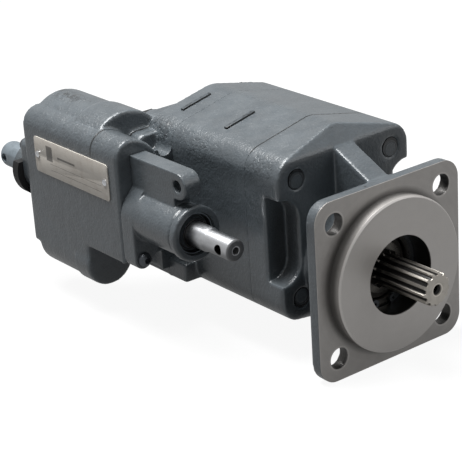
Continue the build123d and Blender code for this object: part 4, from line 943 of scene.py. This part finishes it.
class PUMP_OT_shaft(bpy.types.Operator):
    """Finish the splined drive shaft and the idler gear"""

    bl_idname = "pump.shaft"
    bl_label = "Shafts and gears"

    def shaft_finish(self):
        """Bright teeth and end face with painted shade in the roots and the centre hole and a painted highlight on
        the centre hole's cone; bright facets where the spline runs out, with painted shade and oil behind them.
        """
        tints = finishes()
        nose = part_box("drive_gear_shaft")[0].y / MM
        steel, t, shader, place = start_material("shaft_steel", tints.steel, 0.34, 1.0)
        marks = turning_marks(t, place)
        radius, y = marks["Radius"], t.split(place)["Y"]
        forward = t.times(t.normal()["Y"], -1.0)
        smudge = t.noise(place, 4, 4.0, 0.6)
        end = t.below(y, nose + 0.9, 0.4)
        roots = t.times(t.below(radius, TOOTH_ROOT, 0.6), t.minus(1.0, end))
        centre = t.below(radius, 4.2, 0.6)
        centre_ring = t.times(t.above(radius, 3.3, 0.4), t.below(radius, 4.5, 0.4))
        facets = t.times(t.ramp(forward, 0.3, 0.5), t.below(y, 6, 1), t.above(radius, TOOTH_ROOT - 0.1, 0.4))
        dark = t.times(t.above(y, -6, 4.5), t.minus(1.0, facets))
        tone = t.layers(
            t.mix(marks["Tone"], scaled(tints.steel, 0.8), scaled(tints.steel, 1.05)),
            (t.times(t.ramp(smudge, 0.45, 0.75), 0.35), scaled(tints.steel, 0.45)),
            # Painted shade in the spline roots
            (roots, scaled(tints.grime_and_shade, 0.8)),
            # Painted shade in the centre hole
            (t.times(centre, 0.55), tints.grime_and_shade),
            # Painted highlight on the centre hole's cone
            (t.times(centre_ring, end, 0.7), scaled(tints.steel, 1.5)),
            # Painted shade, with oil, behind the run-out facets
            (t.times(dark, 0.92), tints.grime_and_shade),
        )
        rough = t.plus(0.24, t.times(smudge, 0.22))
        metal = t.minus(1.0, t.times(t.most(roots, dark), 0.9))
        height = t.times(marks["Height"], 0.5)
        dress(t, shader, height, 0.04, Base_Color=tone, Roughness=rough, Metallic=metal)
        return steel

    def execute(self, context):
        give("drive_gear_shaft", self.shaft_finish())
        idler = metal_material("idler_steel", finishes().steel, 0.34, Vector((0, 0, IDLER_HEIGHT * MM)), grime_and_shade=0.2)
        give("idler_gear_shaft", idler)
        give("dowel_pins", idler)
        return {"FINISHED"}


class PUMP_OT_bearing(bpy.types.Operator):
    """Finish the front ball bearing, its snap ring and the shaft seal"""

    bl_idname = "pump.bearing"
    bl_label = "Front bearing"

    def execute(self, context):
        tints = finishes()
        # The races, balls and cage are darkened copies of steel and chrome: painted shade deep in the bore
        race = metal_material("race_steel", scaled(tints.steel, 0.22), 0.3, grime_and_shade=0.8)
        give("bearing_outer_race", race)
        give("bearing_inner_race", race)
        give("bearing_balls", metal_material("ball_steel", scaled(tints.chrome, 0.3), 0.16, grime_and_shade=0.5))
        give("bearing_cage", metal_material("cage_steel", scaled(tints.steel, 0.12), 0.4, grime_and_shade=0.8))
        give("bearing_snap_ring", metal_material("snap_ring_steel", scaled(tints.oxide, 1.2), 0.36, metallic=0.8))
        give("shaft_seal", rubber_material())
        return {"FINISHED"}


class PUMP_OT_spool(bpy.types.Operator):
    """Finish the chromed spool, its painted tang, the wipers and the guard"""

    bl_idname = "pump.spool"
    bl_label = "Spool"

    def wiper_finish(self, axis):
        """Black rubber with the lighter rings of its lips and its metal case."""
        tints = finishes()
        wiper, t, shader, place = start_material("lipped_wiper", tints.rubber, 0.45)
        radius = turning_marks(t, place, axis)["Radius"]
        lips = [
            (t.ramp(t.gap(radius, middle * MM), 0.5 * MM, 0.2 * MM), scaled(tints.paint, lightness))
            for middle, lightness in ((13.2, 2.2), (11.6, 0.9), (10.2, 1.8))
        ]
        dress(t, shader, t.noise(place, 0.6), 0.04, Base_Color=t.layers(tints.rubber, *lips))
        return wiper

    def spool_finish(self, axis):
        """Bright chrome along the barrel with painted shade on its underside, a darker ground end and painted shade
        in the holes.
        """
        tints = finishes()
        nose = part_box("spool")[0].y / MM
        chrome, t, shader, place = start_material("spool_chrome", tints.chrome, 0.2, 1.0)
        parts = t.split(place)
        marks = turning_marks(t, place, axis)
        radius, y = marks["Radius"], parts["Y"]
        smudge = t.noise(place, 3.5, 4.0, 0.6)
        end = t.below(y, nose + 1.3, 0.9)
        # The underside gets a darker copy of the chrome as painted shade
        lit = t.ramp(t.normal()["Z"], -0.35, 0.45)
        ring = t.times(t.above(radius, 2.2, 0.3), t.below(radius, 3.3, 0.4))
        centre_hole = t.times(t.below(radius, 2.5, 0.2), t.below(y, nose + 12, 6))
        pin = t.distance(t.minus(y, (nose + PIN_FROM_NOSE) * MM), t.minus(parts["Z"], axis.z))
        # The centre and pin holes are painted near black as painted shade
        hole = t.most(centre_hole, t.below(pin, 3.5, 0.2))
        tone = t.mix(t.ramp(smudge, 0.3, 0.8), tints.chrome, scaled(tints.chrome, 0.82))
        tone = t.layers(
            t.mix(lit, scaled(tints.chrome, 0.28), tone),
            (t.times(end, 0.9), scaled(tints.chrome, 0.16)),
            (t.times(ring, end), scaled(tints.chrome, 0.7)),
            (hole, scaled(tints.grime_and_shade, 0.4)),
        )
        rough = t.plus(t.plus(0.26, t.times(smudge, 0.08)), t.times(end, 0.2))
        height = t.times(marks["Height"], 0.4)
        dress(t, shader, height, 0.008, Base_Color=tone, Roughness=rough, Metallic=t.minus(1.0, hole))
        return chrome

    def execute(self, context):
        sizes = shapes()
        axis = centre_of("spool")
        mesh = refined("spool", sizes.spool_bevel, 3)
        new_piece("spool_chromed", mesh, "spool_assembly", self.spool_finish(axis), ("spool",))
        tint = scaled(finishes().paint, 2.75)
        tang = metal_material("tang_steel", tint, 0.4, axis, grime_and_shade=0.3, metallic=0.35)
        mesh = refined("spool_tang", sizes.tang_bevel)
        new_piece("spool_tang_steel", mesh, "spool_assembly", tang, ("spool_tang",))
        give("front_spool_wiper", self.wiper_finish(axis))
        for node in ("rear_spool_wiper", "spool_guard"):
            give(node, rubber_material())
        return {"FINISHED"}


class PUMP_OT_screws(bpy.types.Operator):
    """Make the bonnet screws"""

    bl_idname = "pump.screws"
    bl_label = "Bonnet screws"

    def execute(self, context):
        sizes = shapes()
        rise = sizes.screw_rise
        black = metal_material("black_oxide", finishes().oxide, 0.38, metallic=0.7)
        for node, facing in (("front_bonnet_screws", -1), ("rear_bonnet_screws", 1)):
            points = []
            for low, high in shell_boxes(node):
                middle = (low + high) / 2
                seat = low.y + rise if facing < 0 else high.y - rise
                points.append((middle.x, seat, middle.z))
            pattern = button_screw_pattern(sizes.screw_head, rise, sizes.socket, high.y - low.y - rise)
            mesh = set_of(pattern, points, (0, facing, 0), black, random_turn=1.0, seed=3)
            new_piece(node + "_oxide", mesh, "housing", black, (node,))
        return {"FINISHED"}


class PUMP_OT_nameplate(bpy.types.Operator):
    """Make the nameplate and its drive screws"""

    bl_idname = "pump.nameplate"
    bl_label = "Nameplate"

    def plate_finish(self, low, high):
        """Brushed aluminium with ruled lines, a short bar and a plain block as its print."""
        tints = finishes()
        centre, half = (low + high) / 2, (high - low) / 2
        plate, t, shader, place = start_material("nameplate_aluminium", tints.plate, 0.42, 0.15)
        parts = t.split(place)
        along, height = (t.minus(parts[axis], middle) for axis, middle in (("Y", centre.y), ("Z", centre.z)))

        def line(level, width):
            return t.ramp(t.gap(height, level * half.z), width * 1.3 * MM, width * 0.7 * MM)

        def within(value, level, reach):
            return t.ramp(t.gap(value, level), reach, reach - 0.1 * MM)

        rules = [t.times(line(level, 0.14), within(along, -0.12 * half.y, 0.7 * half.y)) for level in (-0.28, -0.62)]
        block = t.times(within(along, 0.58 * half.y, 0.085 * half.y), within(height, 0.28 * half.z, 0.42 * half.z))
        caption = t.times(within(along, 0.12 * half.y, 0.24 * half.y), line(0.22, 0.7))
        ink = t.most(*rules, block, caption)
        brushed = t.add("ShaderNodeMapping", inputs={"Vector": place, "Scale": (1, 0.06, 1)}).outputs[0]
        grain = t.noise(brushed, 0.25, 2.0, 0.6)
        dark_patch = t.ramp(t.noise(place, 7, 5.0, 0.65), 0.42, 0.8)
        tone = t.layers(
            t.mix(grain, scaled(tints.plate, 0.9), scaled(tints.plate, 1.06)),
            (t.times(dark_patch, 0.28), tints.oil_haze),
            (t.times(ink, 0.75), tints.ink),
        )
        rough = t.plus(0.38, t.times(dark_patch, 0.2))
        dress(t, shader, t.minus(grain, ink), 0.03, Base_Color=tone, Roughness=rough)
        return plate

    def execute(self, context):
        sizes = shapes()
        low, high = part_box("nameplate")
        mesh = refined("nameplate", sizes.plate_bevel)
        plate = self.plate_finish(low, high)
        new_piece("nameplate_plate", mesh, "housing", plate, ("nameplate",))
        bright = metal_material("drive_screw_steel", finishes().chrome, 0.22)
        radius, rise = sizes.drive_screw_head / 2, DRIVE_SCREW_RISE
        profile = [(0, -DRIVE_SCREW_SHANK), (radius / 2, -DRIVE_SCREW_SHANK), (radius / 2, 0), (radius, 0)]
        profile += [(radius * cos(a), (0.25 + 0.75 * sin(a)) * rise) for a in (radians(d) for d in (10, 35, 60, 80))]
        pattern = skinned("turned", [circle(r, y, DRIVE_SCREW_SIDES) for r, y in (*profile, (0, rise))])
        points = [(low.x, (a.y + b.y) / 2, (a.z + b.z) / 2) for a, b in shell_boxes("nameplate_screws")]
        mesh = set_of(pattern, points, (-1, 0, 0), bright)
        new_piece("nameplate_screws_bright", mesh, "housing", bright, ("nameplate_screws",))
        return {"FINISHED"}


class PUMP_OT_inner_pieces(bpy.types.Operator):
    """Finish the pieces inside the pump and the valves"""

    bl_idname = "pump.inner_pieces"
    bl_label = "Inner pieces"

    def execute(self, context):
        tints = finishes()
        bronze = metal_material("bushing_bronze", tints.bronze, 0.34, grime_and_shade=0.25)
        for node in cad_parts:
            if "bushing" in node or "thrust_plate" in node:
                give(node, bronze)
            elif node.endswith("_seal"):
                give(node, rubber_material())
        valve_steel = metal_material("valve_steel", tints.steel, 0.3, grime_and_shade=0.2)
        for node in ("check_poppet", "check_retainer", "relief_seat", "relief_poppet", "relief_adjuster"):
            give(node, valve_steel)
        spring_steel = metal_material("spring_steel", scaled(tints.steel, 0.6), 0.36)
        give("check_spring", spring_steel)
        give("relief_spring", spring_steel)
        give("relief_plug", metal_material("black_oxide", tints.oxide, 0.38, metallic=0.7))
        return {"FINISHED"}


class PUMP_OT_stage(bpy.types.Operator):
    """Set the floor, the lamps, the sky and the camera"""

    bl_idname = "pump.stage"
    bl_label = "Stage"

    def floor(self, scene, levels, height):
        """Pale floor that shows white to the camera and keeps the pump's shadow."""
        square = [(x * FLOOR_REACH, y * FLOOR_REACH, height) for x, y in ((-1, -1), (1, -1), (1, 1), (-1, 1))]
        mesh = bpy.data.meshes.new("floor")
        mesh.from_pydata(square, [], [(0, 1, 2, 3)])
        floor = bpy.data.objects.new("floor", mesh)
        scene.collection.objects.link(floor)
        shade = levels.floor_shade
        material, t, shader, place = start_material("floor_white", (shade,) * 3, 0.8)
        dapple = t.noise(place, 400)
        t.put(shader["Base Color"], t.mix(dapple, (shade - 0.005,) * 3, (shade + 0.005,) * 3))
        shader["Specular IOR Level"].default_value = 0.0
        shader["Emission Strength"].default_value = 1.0
        path = t.add("ShaderNodeLightPath").outputs
        mirrored = t.times(path["Is Glossy Ray"], levels.mirror_floor)
        seen = t.most(path["Is Camera Ray"], path["Is Transmission Ray"], mirrored)
        t.put(shader["Emission Color"], t.mix(seen, (0, 0, 0), (levels.floor_glow,) * 3))
        mesh.materials.append(material)

    def sky(self, scene, levels):
        """White behind the pump and a dim even light everywhere else."""
        world = bpy.data.worlds.new("studio")
        scene.world = world
        world.use_nodes = True
        t = Tree(world.node_tree)
        background = world.node_tree.nodes["Background"].inputs
        path = t.add("ShaderNodeLightPath").outputs
        seen = t.most(path["Is Camera Ray"], path["Is Transmission Ray"])
        lit = t.most(levels.sky, t.times(path["Is Glossy Ray"], levels.mirror_sky))
        background["Color"].default_value = (1, 1, 1, 1)
        t.put(background["Strength"], t.most(seen, lit))

    def lamp(self, scene, name, place, size, power, aim):
        data = bpy.data.lights.new(name, "AREA")
        data.shape = "RECTANGLE"
        data.size, data.size_y = size
        data.energy = power
        lamp = bpy.data.objects.new(name, data)
        scene.collection.objects.link(lamp)
        lamp.location = place
        lamp.rotation_euler = (aim - Vector(place)).to_track_quat("-Z", "Y").to_euler()

    def camera(self, scene, lens):
        data = bpy.data.cameras.new("camera")
        data.lens = lens
        data.sensor_width = 36
        data.clip_start, data.clip_end = 0.05, 20
        camera = bpy.data.objects.new("camera", data)
        scene.collection.objects.link(camera)
        pose = Matrix((CAMERA_RIGHT, CAMERA_UP, CAMERA_BACK)).transposed().to_4x4()
        pose.translation = CAMERA_PLACE
        camera.matrix_world = pose
        scene.camera = camera

    def execute(self, context):
        scene = context.scene
        levels = scene.pump_stage
        low, high = CAD_BOX
        aim = (low + high) / 2
        self.floor(scene, levels, low.z)
        self.sky(scene, levels)
        self.lamp(scene, "key_lamp", KEY_PLACE, KEY_SIZE, levels.key_power, aim)
        self.lamp(scene, "fill_lamp", FILL_PLACE, FILL_SIZE, levels.fill_power, aim)
        self.camera(scene, levels.lens)
        scene.view_settings.view_transform = "Standard"
        return {"FINISHED"}


class PUMP_PT_panel(bpy.types.Panel):
    """Lists the pump's pieces and finishes"""

    bl_idname = "PUMP_PT_panel"
    bl_label = "Gear Pump"
    bl_space_type = "VIEW_3D"
    bl_region_type = "UI"
    bl_category = "Gear Pump"

    def draw(self, context):
        layout = self.layout
        for group in (context.scene.pump_finishes, context.scene.pump_shapes, context.scene.pump_stage):
            for key in group.__annotations__:
                layout.prop(group, key)
        for operator in OPERATORS:
            layout.operator(operator.bl_idname)


OPERATORS = (
    PUMP_OT_castings,
    PUMP_OT_bonnets,
    PUMP_OT_roof_bars,
    PUMP_OT_tie_bolts,
    PUMP_OT_shaft,
    PUMP_OT_bearing,
    PUMP_OT_spool,
    PUMP_OT_screws,
    PUMP_OT_nameplate,
    PUMP_OT_inner_pieces,
    PUMP_OT_stage,
)
GROUPS = (PumpFinishes, PumpShapes, PumpStage)


def register():
    for item in (*GROUPS, *OPERATORS, PUMP_PT_panel):
        bpy.utils.register_class(item)
    bpy.types.Scene.pump_finishes = PointerProperty(type=PumpFinishes)
    bpy.types.Scene.pump_shapes = PointerProperty(type=PumpShapes)
    bpy.types.Scene.pump_stage = PointerProperty(type=PumpStage)


def unregister():
    del bpy.types.Scene.pump_stage
    del bpy.types.Scene.pump_shapes
    del bpy.types.Scene.pump_finishes
    for item in reversed((*GROUPS, *OPERATORS, PUMP_PT_panel)):
        bpy.utils.unregister_class(item)


def main():
    register()
    bpy.ops.pump.castings()
    bpy.ops.pump.bonnets()
    bpy.ops.pump.roof_bars()
    bpy.ops.pump.tie_bolts()
    bpy.ops.pump.shaft()
    bpy.ops.pump.bearing()
    bpy.ops.pump.spool()
    bpy.ops.pump.screws()
    bpy.ops.pump.nameplate()
    bpy.ops.pump.inner_pieces()
    bpy.ops.pump.stage()


if __name__ == "__main__":
    main()
